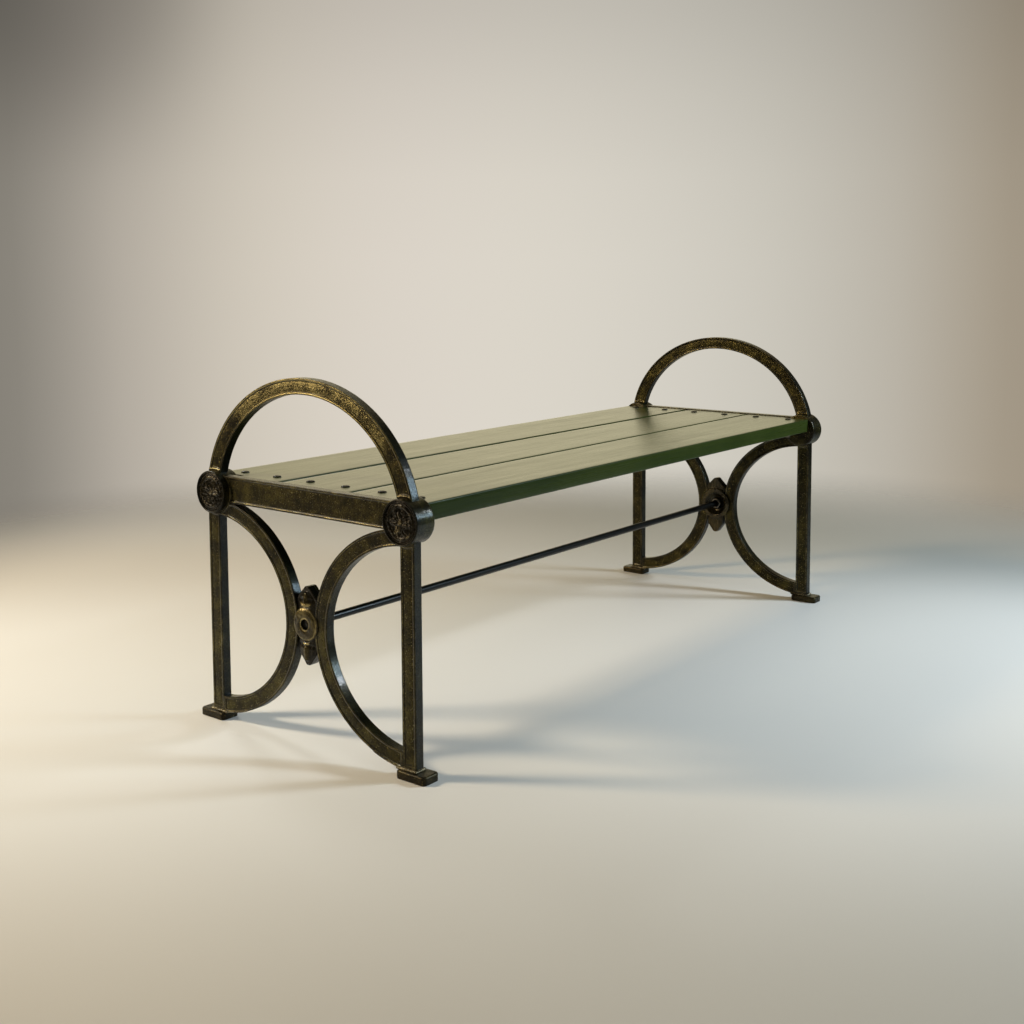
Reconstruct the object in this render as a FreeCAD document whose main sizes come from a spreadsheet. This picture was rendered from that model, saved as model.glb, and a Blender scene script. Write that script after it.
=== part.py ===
import FreeCAD, Part
import os
import Sketcher

# Backless garden bench: two cast iron end frames with round arms, three painted planks between them,
# and a tie rod low down. Millimetres, +Z up, +X along the seat, -Y towards the front.
# The origin is on the ground, under the middle of the seat.

SIZES = [
    # overall
    ("bench_length", 1384.6, "over the outer faces of the hubs"),
    ("seat_depth", 491.0, "front edge to rear edge of the planks"),
    ("seat_height", 430.0, "ground to the top of the planks"),
    ("arm_height", 610.2, "ground to the top of the arm hoop"),
    # bars of the end frame
    ("bar_thickness", 17.5, "every bar, along X"),
    ("leg_width", 29.0, "leg, along Y"),
    ("leg_inset", 17.8, "seat edge to the leg's centre line"),
    ("rim_width", 4.0, "raised border of each sunk panel"),
    ("panel_sink", 1.2, "depth of each sunk panel"),
    ("bow_outset", 4.2, "bow's centre beyond the leg's centre line"),
    ("bow_half_gap", 19.8, "middle plane to the crown of a bow"),
    ("bow_side_width", 28.7, "bow's bar at its crown"),
    ("bow_end_width", 27.6, "bow's bar at its top and bottom"),
    ("bow_top_drop", 11.2, "hub's centre to the top of the bow"),
    ("bow_foot_sink", 1.6, "how far the bow's curve would dip into the foot"),
    ("hoop_inset", 0.6, "seat edge to the widest point of the hoop"),
    ("hoop_drop", 12.7, "hub's centre to the hoop's centre"),
    ("hoop_side_width", 30.7, "hoop's bar at its two ends"),
    ("hoop_top_width", 27.3, "hoop's bar at its top"),
    # hubs and rosettes
    ("hub_inset", 22.1, "seat edge to the hub's centre"),
    ("hub_drop", 27.4, "seat top to the hub's centre"),
    ("hub_radius", 36.7, "hub's barrel"),
    ("hub_proud_outer", 11.2, "hub beyond the outer face of the bars"),
    ("hub_proud_inner", 12.2, "hub beyond the inner face of the bars"),
    ("hub_rim", 3.4, "width of the rim round the rosette"),
    ("hub_face_depth", 3.6, "depth of the rosette's seat"),
    ("hub_edge", 1.2, "chamfer on the hub's edges"),
    ("rosette_play", 0.3, "rosette's edge to the hub's rim"),
    ("rosette_plate", 1.4, "thickness of the rosette's plate"),
    ("rosette_ring_outer", 27.0, "outer radius of the rosette's raised ring"),
    ("rosette_ring_inner", 23.6, "inner radius of the rosette's raised ring"),
    ("rosette_ring_height", 1.4, "raised ring above the plate"),
    ("rosette_eye", 5.2, "radius of the rosette's centre"),
    ("petal_orbit", 13.6, "rosette's centre to a petal's centre"),
    ("petal_radius", 4.9, "radius of a petal"),
    ("petal_height", 1.1, "petal above the plate"),
    ("petal_count", 8, "petals in the rosette"),
    # feet
    ("foot_length", 61.0, "foot, along Y"),
    ("foot_width", 36.2, "foot, along X"),
    ("foot_height", 13.8, "foot, along Z"),
    ("foot_outset", 8.5, "foot's centre beyond the leg's centre line"),
    ("foot_corner", 5.0, "radius of the foot's upright edges"),
    ("foot_top_edge", 2.6, "radius of the foot's top edges"),
    # seat rail
    ("rail_lip", 2.0, "seat rail above the planks"),
    ("rail_height", 46.4, "seat rail's web, along Z"),
    ("ledge_reach", 58.5, "ledge inwards from the web"),
    ("ledge_thickness", 6.0, "ledge, along Z"),
    ("ledge_inset", 21.0, "seat edge to the end of the ledge"),
    ("hub_clearance", 1.6, "room round a hub for the ledge and the planks"),
    # planks
    ("plank_thickness", 29.0, "plank, along Z"),
    ("front_gap", 5.0, "front plank to middle plank"),
    ("rear_gap", 9.0, "middle plank to rear plank"),
    ("plank_end_gap", 1.5, "plank's end to the seat rail"),
    ("plank_ease", 2.5, "radius of the planks' long edges"),
    # bolts
    ("bolt_setback", 37.5, "seat rail to the row of bolts"),
    ("bolt_pair", 83.0, "between the two bolts of one plank"),
    ("bolt_radius", 3.1, "bolt's shank"),
    ("bolt_hole_radius", 3.5, "holes in the planks and the ledge"),
    ("bolt_head_radius", 7.4, "domed head"),
    ("bolt_head_height", 2.8, "domed head"),
    ("bolt_tail", 1.5, "shank beyond the nut"),
    ("washer_radius", 7.2, "washer under the ledge"),
    ("washer_thickness", 1.2, "washer under the ledge"),
    ("bolt_nut_radius", 5.9, "nut, over its corners"),
    ("bolt_nut_height", 5.0, "nut, along Z"),
    # tie rod and leaf boss
    ("rod_lift", 3.6, "rod above the centre of the bows"),
    ("rod_radius", 7.0, "tie rod"),
    ("rod_end_inset", 5.0, "boss's outer face to the end of the rod"),
    ("rod_end_chamfer", 1.0, "chamfer on the rod's ends"),
    ("rod_nut_radius", 12.7, "jam nut, over its corners"),
    ("rod_nut_height", 7.0, "jam nut, along X"),
    ("boss_proud_outer", 4.0, "boss beyond the outer face of the bars"),
    ("boss_proud_inner", 5.0, "boss beyond the inner face of the bars"),
    ("leaf_top", 66.6, "rod to the upper leaf's sharp tip, before rounding"),
    ("leaf_bottom", 74.4, "rod to the lower leaf's sharp tip, before rounding"),
    ("leaf_shoulder_rise", 43.0, "rod up to the upper leaf's shoulders"),
    ("leaf_shoulder_half", 23.0, "half the width at the upper shoulders"),
    ("leaf_heel_drop", 49.0, "rod down to the lower leaf's shoulders"),
    ("leaf_heel_half", 20.0, "half the width at the lower shoulders"),
    ("leaf_tip_radius", 8.5, "rounding of both tips"),
    ("boss_disc_radius", 28.5, "round face of the boss, outside"),
    ("boss_flange_radius", 37.0, "round flange of the boss, inside"),
    ("cup_mouth_radius", 27.0, "dish round the rod, at its mouth"),
    ("cup_floor_radius", 16.0, "dish round the rod, at its floor"),
    ("cup_depth", 9.0, "dish round the rod"),
    ("eye_radius", 9.0, "open eye over the rod's end"),
    ("eye_depth", 8.0, "open eye over the rod's end"),
]

# Sizes that follow from the cells above. Each is an expression of cells and of the ones before it.
DERIVED = [
    ("frame_x", "{bench_length} / 2 - {hub_proud_outer} - {bar_thickness} / 2"),
    ("outer_x", "{frame_x} + {bar_thickness} / 2"),
    ("inner_x", "{frame_x} - {bar_thickness} / 2"),
    ("hub_outer_x", "{outer_x} + {hub_proud_outer}"),
    ("hub_inner_x", "{inner_x} - {hub_proud_inner}"),
    ("leg_y", "{seat_depth} / 2 - {leg_inset}"),
    ("leg_inner_y", "{leg_y} - {leg_width} / 2"),
    ("hub_y", "{seat_depth} / 2 - {hub_inset}"),
    ("hub_z", "{seat_height} - {hub_drop}"),
    ("foot_y", "{leg_y} + {foot_outset}"),
    ("bow_y", "{leg_y} + {bow_outset}"),
    ("bow_reach", "{bow_y} - {bow_half_gap}"),
    ("bow_low_z", "{foot_height} - {bow_foot_sink}"),
    ("bow_z", "({hub_z} - {bow_top_drop} + {bow_low_z}) / 2"),
    ("bow_rise", "({hub_z} - {bow_top_drop} - {bow_low_z}) / 2"),
    ("hoop_z", "{hub_z} - {hoop_drop}"),
    ("hoop_reach", "{seat_depth} / 2 - {hoop_inset}"),
    ("hoop_rise", "{arm_height} - {hoop_z}"),
    ("plank_width", "({seat_depth} - {front_gap} - {rear_gap}) / 3"),
    ("plank_pitch", "{plank_width} + ({front_gap} + {rear_gap}) / 2"),
    ("plank_end_x", "{inner_x} - {plank_end_gap}"),
    ("plank_low_z", "{seat_height} - {plank_thickness}"),
    ("rail_low_z", "{seat_height} + {rail_lip} - {rail_height}"),
    ("bolt_x", "{inner_x} - {bolt_setback}"),
    ("ledge_low_z", "{plank_low_z} - {ledge_thickness}"),
    ("washer_low_z", "{ledge_low_z} - {washer_thickness}"),
    ("bolt_nut_low_z", "{washer_low_z} - {bolt_nut_height}"),
    ("bolt_low_z", "{bolt_nut_low_z} - {bolt_tail}"),
    ("head_sphere", "({bolt_head_radius} ^ 2 + {bolt_head_height} ^ 2) / (2 * {bolt_head_height})"),
    ("rod_z", "{bow_z} + {rod_lift}"),
    ("boss_outer_x", "{outer_x} + {boss_proud_outer}"),
    ("boss_inner_x", "{inner_x} - {boss_proud_inner}"),
    ("rod_end_x", "{boss_outer_x} - {rod_end_inset}"),
]

FRONT, MIDDLE, REAR = -1, 0, 1
TURN_Z_TO_X = FreeCAD.Rotation(FreeCAD.Vector(0, 1, 0), 90)
ALONG_X = FreeCAD.Vector(1, 0, 0)
ALONG_Y = FreeCAD.Vector(0, 1, 0)
ALONG_Z = FreeCAD.Vector(0, 0, 1)

doc = FreeCAD.newDocument("garden_bench")
sheet = doc.addObject("Spreadsheet::Sheet", "sizes")
names = {}
nodes = []


def fill_sheet():
    for row, (alias, size, meaning) in enumerate(SIZES, start=1):
        sheet.set(f"A{row}", meaning)
        sheet.set(f"B{row}", str(size))
        sheet.setAlias(f"B{row}", alias)
        names[alias] = f"sizes.{alias}"
    for alias, text in DERIVED:
        names[alias] = "(" + text.format_map(names) + ")"
    doc.recompute()


def cells(text):
    """The same expression with each name in braces written out in cells of the sheet."""
    return text.format_map(names)


def value(text):
    return float(sheet.evalExpression(cells(text)))


def node(piece, label):
    """Marks a finished sub-part: its label names its file."""
    piece.Label = label
    nodes.append(piece)
    return piece


# ---- solids made of Part primitives ----

def place(piece, low):
    for axis, text in zip("xyz", low):
        piece.setExpression(f".Placement.Base.{axis}", cells(text))


def box(name, low, size):
    piece = doc.addObject("Part::Box", name)
    for side, text in zip(("Length", "Width", "Height"), size):
        piece.setExpression(side, cells(text))
    place(piece, low)
    return piece


def cylinder(name, radius, height, low, along_x=False):
    piece = doc.addObject("Part::Cylinder", name)
    piece.setExpression("Radius", cells(radius))
    piece.setExpression("Height", cells(height))
    if along_x:
        piece.Placement = FreeCAD.Placement(FreeCAD.Vector(), TURN_Z_TO_X)
    place(piece, low)
    return piece


def hexagon(name, corner_radius, height, low, along_x=False):
    piece = doc.addObject("Part::Prism", name)
    piece.Polygon = 6
    piece.setExpression("Circumradius", cells(corner_radius))
    piece.setExpression("Height", cells(height))
    if along_x:
        piece.Placement = FreeCAD.Placement(FreeCAD.Vector(), TURN_Z_TO_X)
    place(piece, low)
    return piece


def oval(name, half_y, half_z, low, thickness):
    """Elliptical slab whose flat faces look along X. low is the centre of its face with the lowest x."""
    outline = doc.addObject("Part::Ellipse", name + "_outline")
    if value(half_y) >= value(half_z):
        longer, shorter = half_y, half_z
        turn = FreeCAD.Rotation(ALONG_Y, ALONG_Z, ALONG_X, "ZXY")
    else:
        longer, shorter = half_z, half_y
        turn = FreeCAD.Rotation(ALONG_Z, -ALONG_Y, ALONG_X, "ZXY")
    outline.setExpression("MajorRadius", cells(longer))
    outline.setExpression("MinorRadius", cells(shorter))
    outline.Placement = FreeCAD.Placement(FreeCAD.Vector(), turn)
    place(outline, low)
    slab = doc.addObject("Part::Extrusion", name)
    slab.Base = outline
    slab.DirMode = "Custom"
    slab.Dir = ALONG_X
    slab.Solid = True
    slab.setExpression("LengthFwd", cells(thickness))
    return slab


def cut(name, base, tool):
    piece = doc.addObject("Part::Cut", name)
    piece.Base = base
    piece.Tool = tool
    return piece


def common(name, base, tool):
    piece = doc.addObject("Part::Common", name)
    piece.Base = base
    piece.Tool = tool
    return piece


def join(name, pieces):
    piece = doc.addObject("Part::MultiFuse", name)
    piece.Shapes = pieces
    return piece


def group(name, pieces):
    piece = doc.addObject("Part::Compound", name)
    piece.Links = pieces
    return piece


def mirrored(name, source, normal):
    piece = doc.addObject("Part::Mirroring", name)
    piece.Source = source
    piece.Normal = normal
    return piece


# ---- PartDesign helpers ----

def plane(body, role):
    return [feature for feature in body.Origin.OriginFeatures if feature.Role == role][0]


def sketch_on(body, role, name, offset=None):
    sketch = body.newObject("Sketcher::SketchObject", name)
    sketch.AttachmentSupport = [(plane(body, role), "")]
    sketch.MapMode = "FlatFace"
    if offset:
        sketch.setExpression("AttachmentOffset.Base.z", cells(offset))
    return sketch


def hold_point(sketch, edge, end, position):
    """Ties one end of an edge to its two coordinates. A coordinate of 0 puts it on the sketch's axis."""
    for kind, other_axis, text in zip(("DistanceX", "DistanceY"), (-2, -1), position):
        if text == "0":
            sketch.addConstraint(Sketcher.Constraint("PointOnObject", edge, end, other_axis))
        else:
            index = sketch.addConstraint(Sketcher.Constraint(kind, -1, 1, edge, end, value(text)))
            sketch.setExpression(f"Constraints[{index}]", cells(text))


def outline(body, role, name, points, offset=None):
    """Closed sketch of straight edges through points given as expressions."""
    sketch = sketch_on(body, role, name, offset)
    corners = [FreeCAD.Vector(value(u), value(v), 0) for u, v in points]
    for edge, start in enumerate(corners):
        end = corners[(edge + 1) % len(corners)]
        sketch.addGeometry(Part.LineSegment(start, end), False)
    for edge in range(len(points)):
        sketch.addConstraint(Sketcher.Constraint("Coincident", edge, 2, (edge + 1) % len(points), 1))
    for edge, position in enumerate(points):
        hold_point(sketch, edge, 1, position)
    return sketch


def circle(body, role, name, radius, centre=("0", "0"), offset=None):
    sketch = sketch_on(body, role, name, offset)
    middle = FreeCAD.Vector(value(centre[0]), value(centre[1]), 0)
    sketch.addGeometry(Part.Circle(middle, ALONG_Z, value(radius)), False)
    index = sketch.addConstraint(Sketcher.Constraint("Radius", 0, value(radius)))
    sketch.setExpression(f"Constraints[{index}]", cells(radius))
    hold_point(sketch, 0, 3, centre)
    return sketch


def pad(body, sketch, name, length, backwards=False):
    feature = body.newObject("PartDesign::Pad", name)
    feature.Profile = sketch
    feature.setExpression("Length", cells(length))
    feature.Reversed = backwards
    return feature


def revolve(body, sketch, kind, name):
    """Turns the sketch round its own horizontal axis: kind is Revolution or Groove."""
    feature = body.newObject(f"PartDesign::{kind}", name)
    feature.Profile = sketch
    feature.ReferenceAxis = (sketch, ["H_Axis"])
    feature.Angle = 360
    return feature


def edges_where(feature, wanted):
    doc.recompute()
    return [f"Edge{i}" for i, edge in enumerate(feature.Shape.Edges, start=1) if wanted(edge)]


def runs_along(edge, direction):
    first, last = edge.Vertexes[0].Point, edge.Vertexes[-1].Point
    span = last - first
    return edge.Curve.TypeId == "Part::GeomLine" and abs(span.dot(direction)) > 0.999 * span.Length


def round_edges(body, feature, name, radius, wanted):
    fillet = body.newObject("PartDesign::Fillet", name)
    fillet.Base = (feature, edges_where(feature, wanted))
    fillet.setExpression("Radius", cells(radius))
    return fillet


# ---- pieces that one quarter of the frame holds: made at the left front ----

def hub_room(name, radius, y_side):
    """A cylinder round a hub's axis, through the whole end frame: takes the ends off the bars."""
    low = ("-{hub_outer_x}", f"{y_side} * {{hub_y}}", "{hub_z}")
    return cylinder(name, radius, "{hub_outer_x} - {hub_inner_x}", low, along_x=True)


def sink_panels(name, blank, panel):
    """Sinks the panel's outline into both faces of a bar and leaves the middle of the bar whole."""
    core = box(
        name + "_core",
        ("-{outer_x} + {panel_sink}", "-{seat_depth}", "0"),
        ("{bar_thickness} - 2 * {panel_sink}", "2 * {seat_depth}", "{arm_height}"),
    )
    return cut(name, blank, cut(name + "_panels", panel, core))


def leg():
    size = ("{bar_thickness}", "{leg_width}", "{hub_z} - {foot_height}")
    bar = box("leg_bar", ("-{outer_x}", "-{leg_y} - {leg_width} / 2", "{foot_height}"), size)
    blank = cut("leg_blank", bar, hub_room("leg_hub", "{hub_radius}", FRONT))
    inside = box(
        "leg_inside",
        ("-{outer_x}", "-{leg_y} - {leg_width} / 2 + {rim_width}", "{foot_height} + 2 * {rim_width}"),
        ("{bar_thickness}", "{leg_width} - 2 * {rim_width}", "{hub_z} - {foot_height} - 2 * {rim_width}"),
    )
    panel = cut("leg_panel", inside, hub_room("leg_rim", "{hub_radius} + {rim_width}", FRONT))
    return sink_panels("leg", blank, panel)


def bow_ring(name, border):
    """Whole elliptical ring of a bow's bar, drawn in from both edges by border."""
    low = ("-{outer_x}", "-{bow_y}", "{bow_z}")
    outside = oval(name + "_outside", f"{{bow_reach}} - {border}", f"{{bow_rise}} - {border}",
                   low, "{bar_thickness}")
    inside = oval(name + "_inside", f"{{bow_reach}} - {{bow_side_width}} + {border}",
                  f"{{bow_rise}} - {{bow_end_width}} + {border}", low, "{bar_thickness}")
    return cut(name, outside, inside)


def bow_blank():
    reach = box(
        "bow_span",
        ("-{outer_x}", "-{leg_inner_y}", "{foot_height}"),
        ("{bar_thickness}", "{leg_inner_y}", "{rail_low_z} - {foot_height}"),
    )
    half = common("bow_half", bow_ring("bow_bar", "0"), reach)
    return cut("bow_blank", half, hub_room("bow_hub", "{hub_radius}", FRONT))


def bow(blank):
    reach = box(
        "bow_panel_span",
        ("-{outer_x}", "-{leg_inner_y} + {rim_width}", "{foot_height} + {rim_width}"),
        ("{bar_thickness}", "{leg_inner_y}", "{rail_low_z} - {foot_height} - 2 * {rim_width}"),
    )
    half = common("bow_panel_half", bow_ring("bow_panel_bar", "{rim_width}"), reach)
    panel = cut("bow_panel", half, hub_room("bow_rim", "{hub_radius} + {rim_width}", FRONT))
    return sink_panels("bow", blank, panel)


def hub():
    body = doc.addObject("PartDesign::Body", "hub")
    profile = outline(body, "XY_Plane", "hub_profile", [
        ("-{hub_outer_x} + {hub_face_depth}", "0"),
        ("-{hub_outer_x} + {hub_face_depth}", "{hub_radius} - {hub_rim}"),
        ("-{hub_outer_x}", "{hub_radius} - {hub_rim}"),
        ("-{hub_outer_x}", "{hub_radius} - {hub_edge}"),
        ("-{hub_outer_x} + {hub_edge}", "{hub_radius}"),
        ("-{hub_inner_x} - {hub_edge}", "{hub_radius}"),
        ("-{hub_inner_x}", "{hub_radius} - {hub_edge}"),
        ("-{hub_inner_x}", "0"),
    ])
    revolve(body, profile, "Revolution", "hub_barrel")
    place(body, ("0", "-{hub_y}", "{hub_z}"))
    return body


def rosette():
    body = doc.addObject("PartDesign::Body", "rosette")
    seat = "-{hub_outer_x} + {hub_face_depth}"
    plate = seat + " - {rosette_plate}"
    raised = plate + " - {rosette_ring_height}"
    profile = outline(body, "XY_Plane", "rosette_profile", [
        (seat, "0"),
        (seat, "{hub_radius} - {hub_rim} - {rosette_play}"),
        (plate, "{hub_radius} - {hub_rim} - {rosette_play}"),
        (plate, "{rosette_ring_outer}"),
        (raised, "{rosette_ring_outer}"),
        (raised, "{rosette_ring_inner}"),
        (plate, "{rosette_ring_inner}"),
        (plate, "{rosette_eye}"),
        (raised, "{rosette_eye} / 2"),
        (raised, "0"),
    ])
    revolve(body, profile, "Revolution", "rosette_turned")
    petal = circle(body, "YZ_Plane", "petal_outline", "{petal_radius}", ("0", "{petal_orbit}"), seat)
    petal_pad = pad(body, petal, "petal", "{rosette_plate} + {petal_height}", backwards=True)
    ring = body.newObject("PartDesign::PolarPattern", "petals")
    ring.Originals = [petal_pad]
    ring.Axis = (petal, ["N_Axis"])
    ring.Angle = 360
    ring.setExpression("Occurrences", cells("{petal_count}"))
    body.Tip = ring
    place(body, ("0", "-{hub_y}", "{hub_z}"))
    return body


def foot():
    body = doc.addObject("PartDesign::Body", "foot")
    near, far = "-{foot_width} / 2", "{foot_width} / 2"
    low, high = "-{foot_length} / 2", "{foot_length} / 2"
    corners = outline(body, "XY_Plane", "foot_outline", [(near, low), (far, low), (far, high), (near, high)])
    block = pad(body, corners, "foot_block", "{foot_height}")
    upright = round_edges(body, block, "foot_corners", "{foot_corner}", lambda e: runs_along(e, ALONG_Z))
    top = value("{foot_height}")
    round_edges(body, upright, "foot_top", "{foot_top_edge}",
                lambda e: abs(e.BoundBox.ZMin - top) < 0.001)
    place(body, ("-{frame_x}", "-{foot_y}", "0"))
    return body


# ---- pieces that one whole end holds: made at the left end ----

def hoop_ring(name, border):
    low = ("-{outer_x}", "0", "{hoop_z}")
    outside = oval(name + "_outside", f"{{hoop_reach}} - {border}", f"{{hoop_rise}} - {border}",
                   low, "{bar_thickness}")
    inside = oval(name + "_inside", f"{{hoop_reach}} - {{hoop_side_width}} + {border}",
                  f"{{hoop_rise}} - {{hoop_top_width}} + {border}", low, "{bar_thickness}")
    above = box(
        name + "_above",
        ("-{outer_x}", "-{seat_depth}", "{hub_z}"),
        ("{bar_thickness}", "2 * {seat_depth}", "{arm_height}"),
    )
    return common(name, cut(name + "_whole", outside, inside), above)


def both_hub_rooms(name, radius):
    return join(name, [hub_room(name + "_front", radius, FRONT), hub_room(name + "_rear", radius, REAR)])


def hoop():
    blank = cut("hoop_blank", hoop_ring("hoop_bar", "0"), both_hub_rooms("hoop_hubs", "{hub_radius}"))
    rims = both_hub_rooms("hoop_rims", "{hub_radius} + {rim_width}")
    return sink_panels("hoop", blank, cut("hoop_panel", hoop_ring("hoop_panel_bar", "{rim_width}"), rims))


def bolt_places(which=(FRONT, MIDDLE, REAR)):
    """The y of each bolt in a row: a pair to each plank, on the casting's even pitch."""
    return [f"{plank} * {{plank_pitch}} + {side} * {{bolt_pair}} / 2" for plank in which for side in (-1, 1)]


def bolt_holes(name, x_text, which=(FRONT, MIDDLE, REAR)):
    holes = []
    for index, y_text in enumerate(bolt_places(which)):
        low = (x_text, y_text, "{bolt_low_z}")
        holes.append(cylinder(f"{name}_{index}", "{bolt_hole_radius}", "{seat_height} - {bolt_low_z}", low))
    return holes


def seat_rail():
    web = box(
        "rail_web",
        ("-{outer_x}", "-{hub_y}", "{rail_low_z}"),
        ("{bar_thickness}", "2 * {hub_y}", "{rail_height}"),
    )
    blank = cut("rail_blank", web, both_hub_rooms("rail_hubs", "{hub_radius}"))
    inside = box(
        "rail_inside",
        ("-{outer_x}", "-{hub_y}", "{rail_low_z} + {rim_width}"),
        ("{bar_thickness}", "2 * {hub_y}", "{rail_height} - 2 * {rim_width}"),
    )
    panel = cut("rail_panel", inside, both_hub_rooms("rail_rims", "{hub_radius} + {rim_width}"))
    panelled = sink_panels("rail_panelled", blank, panel)
    ledge = box(
        "ledge_bar",
        ("-{frame_x}", "-{seat_depth} / 2 + {ledge_inset}", "{ledge_low_z}"),
        ("{bar_thickness} / 2 + {ledge_reach}", "{seat_depth} - 2 * {ledge_inset}", "{ledge_thickness}"),
    )
    rooms = []
    for side, word in ((FRONT, "front"), (REAR, "rear")):
        low = ("-{hub_outer_x}", f"{side} * {{hub_y}}", "{hub_z}")
        length = "{hub_outer_x} - {hub_inner_x} + {hub_clearance}"
        rooms.append(cylinder(f"ledge_{word}_room", "{hub_radius} + {hub_clearance}", length, low, True))
    clear_ledge = cut("ledge", ledge, join("ledge_rooms", rooms))
    whole = join("rail_whole", [panelled, clear_ledge])
    return cut("seat_rail", whole, join("rail_holes", bolt_holes("rail_hole", "-{bolt_x}")))


def leaf_boss(front_blank, rear_blank):
    body = doc.addObject("PartDesign::Body", "boss_body")
    leaf = outline(body, "YZ_Plane", "leaf_outline", [
        ("0", "{leaf_top}"),
        ("-{leaf_shoulder_half}", "{leaf_shoulder_rise}"),
        ("-{leaf_heel_half}", "-{leaf_heel_drop}"),
        ("0", "-{leaf_bottom}"),
        ("{leaf_heel_half}", "-{leaf_heel_drop}"),
        ("{leaf_shoulder_half}", "{leaf_shoulder_rise}"),
    ], "-{boss_outer_x}")
    block = pad(body, leaf, "leaf_block", "{boss_outer_x} - {boss_inner_x}")
    tips = round_edges(body, block, "leaf_tips", "{leaf_tip_radius}",
                       lambda e: runs_along(e, ALONG_X) and abs(e.BoundBox.YMax) < 0.001)
    disc = circle(body, "YZ_Plane", "disc_outline", "{boss_disc_radius}", offset="-{boss_outer_x}")
    pad(body, disc, "boss_disc", "{boss_proud_outer} + {bar_thickness}")
    flange = circle(body, "YZ_Plane", "flange_outline", "{boss_flange_radius}", offset="-{inner_x}")
    pad(body, flange, "boss_flange", "{boss_proud_inner}")
    doc.recompute()
    before = body.Shape.Volume
    bore = outline(body, "XY_Plane", "bore_profile", [
        ("-{boss_outer_x} - {eye_depth}", "0"),
        ("-{boss_outer_x} - {eye_depth}", "{eye_radius}"),
        ("-{boss_outer_x} + {eye_depth}", "{eye_radius}"),
        ("-{boss_outer_x} + {eye_depth}", "{rod_radius}"),
        ("-{boss_inner_x} - {cup_depth}", "{rod_radius}"),
        ("-{boss_inner_x} - {cup_depth}", "{cup_floor_radius}"),
        ("-{boss_inner_x}", "{cup_mouth_radius}"),
        ("-{boss_inner_x} + {cup_depth}", "{cup_mouth_radius}"),
        ("-{boss_inner_x} + {cup_depth}", "0"),
    ])
    revolve(body, bore, "Groove", "boss_bore")
    place(body, ("0", "0", "{rod_z}"))
    doc.recompute()
    if body.Shape.Volume >= before:
        raise SystemExit("the boss's bore took nothing away")
    if tips.Shape.Volume >= block.Shape.Volume:
        raise SystemExit("the leaf's tips weren't rounded")
    return cut("leaf_boss", body, join("boss_bows", [front_blank, rear_blank]))


def rod_nut():
    low = ("-{boss_inner_x} - {cup_depth}", "0", "{rod_z}")
    block = hexagon("rod_nut_block", "{rod_nut_radius}", "{rod_nut_height}", low, along_x=True)
    return cut("rod_nut", block, cylinder("rod_nut_bore", "{rod_radius}", "{rod_nut_height}", low, True))


def seat_bolts():
    bolts = []
    for index, y_text in enumerate(bolt_places()):
        shank = cylinder(f"shank_{index}", "{bolt_radius}", "{seat_height} - {bolt_low_z}",
                         ("-{bolt_x}", y_text, "{bolt_low_z}"))
        head = doc.addObject("Part::Sphere", f"head_{index}")
        head.setExpression("Radius", cells("{head_sphere}"))
        head.setExpression("Angle1", cells("asin(1 - {bolt_head_height} / {head_sphere})"))
        head.Angle2 = 90
        place(head, ("-{bolt_x}", y_text, "{seat_height} + {bolt_head_height} - {head_sphere}"))
        bolts.append(join(f"bolt_{index}", [shank, head]))
    return group("seat_bolts", bolts)


def seat_washers():
    washers = []
    for index, y_text in enumerate(bolt_places()):
        low = ("-{bolt_x}", y_text, "{washer_low_z}")
        plate = cylinder(f"washer_plate_{index}", "{washer_radius}", "{washer_thickness}", low)
        hole = cylinder(f"washer_hole_{index}", "{bolt_hole_radius}", "{washer_thickness}", low)
        washers.append(cut(f"washer_{index}", plate, hole))
    return group("seat_washers", washers)


def seat_nuts():
    nuts = []
    for index, y_text in enumerate(bolt_places()):
        low = ("-{bolt_x}", y_text, "{bolt_nut_low_z}")
        block = hexagon(f"nut_block_{index}", "{bolt_nut_radius}", "{bolt_nut_height}", low)
        bore = cylinder(f"nut_bore_{index}", "{bolt_radius}", "{bolt_nut_height}", low)
        nuts.append(cut(f"nut_{index}", block, bore))
    return group("seat_nuts", nuts)


# ---- pieces between the two ends ----

def plank(word, which, y_low):
    """One plank: eased long edges, a corner cut away round each hub, and two bolt holes at each end."""
    board = box(
        f"{word}_board",
        ("-{plank_end_x}", y_low, "{plank_low_z}"),
        ("2 * {plank_end_x}", "{plank_width}", "{plank_thickness}"),
    )
    doc.recompute()
    radius = value("{plank_ease}")
    eased = doc.addObject("Part::Fillet", f"{word}_eased")
    eased.Base = board
    eased.Edges = [
        (i, radius, radius) for i, edge in enumerate(board.Shape.Edges, start=1) if runs_along(edge, ALONG_X)
    ]
    tools = bolt_holes(f"{word}_left_hole", "-{bolt_x}", (which,))
    tools += bolt_holes(f"{word}_right_hole", "{bolt_x}", (which,))
    if which != MIDDLE:
        reach = "{hub_y} - {hub_radius} - {hub_clearance}"
        depth = "{plank_end_x} - {hub_inner_x} + {hub_clearance}"
        notch_low_y = "-{hub_y}" if which == FRONT else reach
        notch_size = (depth, "{hub_radius} + {hub_clearance}", "{plank_thickness}")
        outside_low_y = "-{seat_depth}" if which == FRONT else "{hub_y}"
        outside_size = (depth, "{seat_depth} - {hub_y}", "{plank_thickness}")
        for end, x_text in (("left", "-{plank_end_x}"), ("right", "{hub_inner_x} - {hub_clearance}")):
            tools.append(box(f"{word}_{end}_notch", (x_text, notch_low_y, "{plank_low_z}"), notch_size))
            tools.append(box(f"{word}_{end}_corner", (x_text, outside_low_y, "{plank_low_z}"), outside_size))
    return cut(f"{word}_plank", eased, join(f"{word}_tools", tools))


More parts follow.
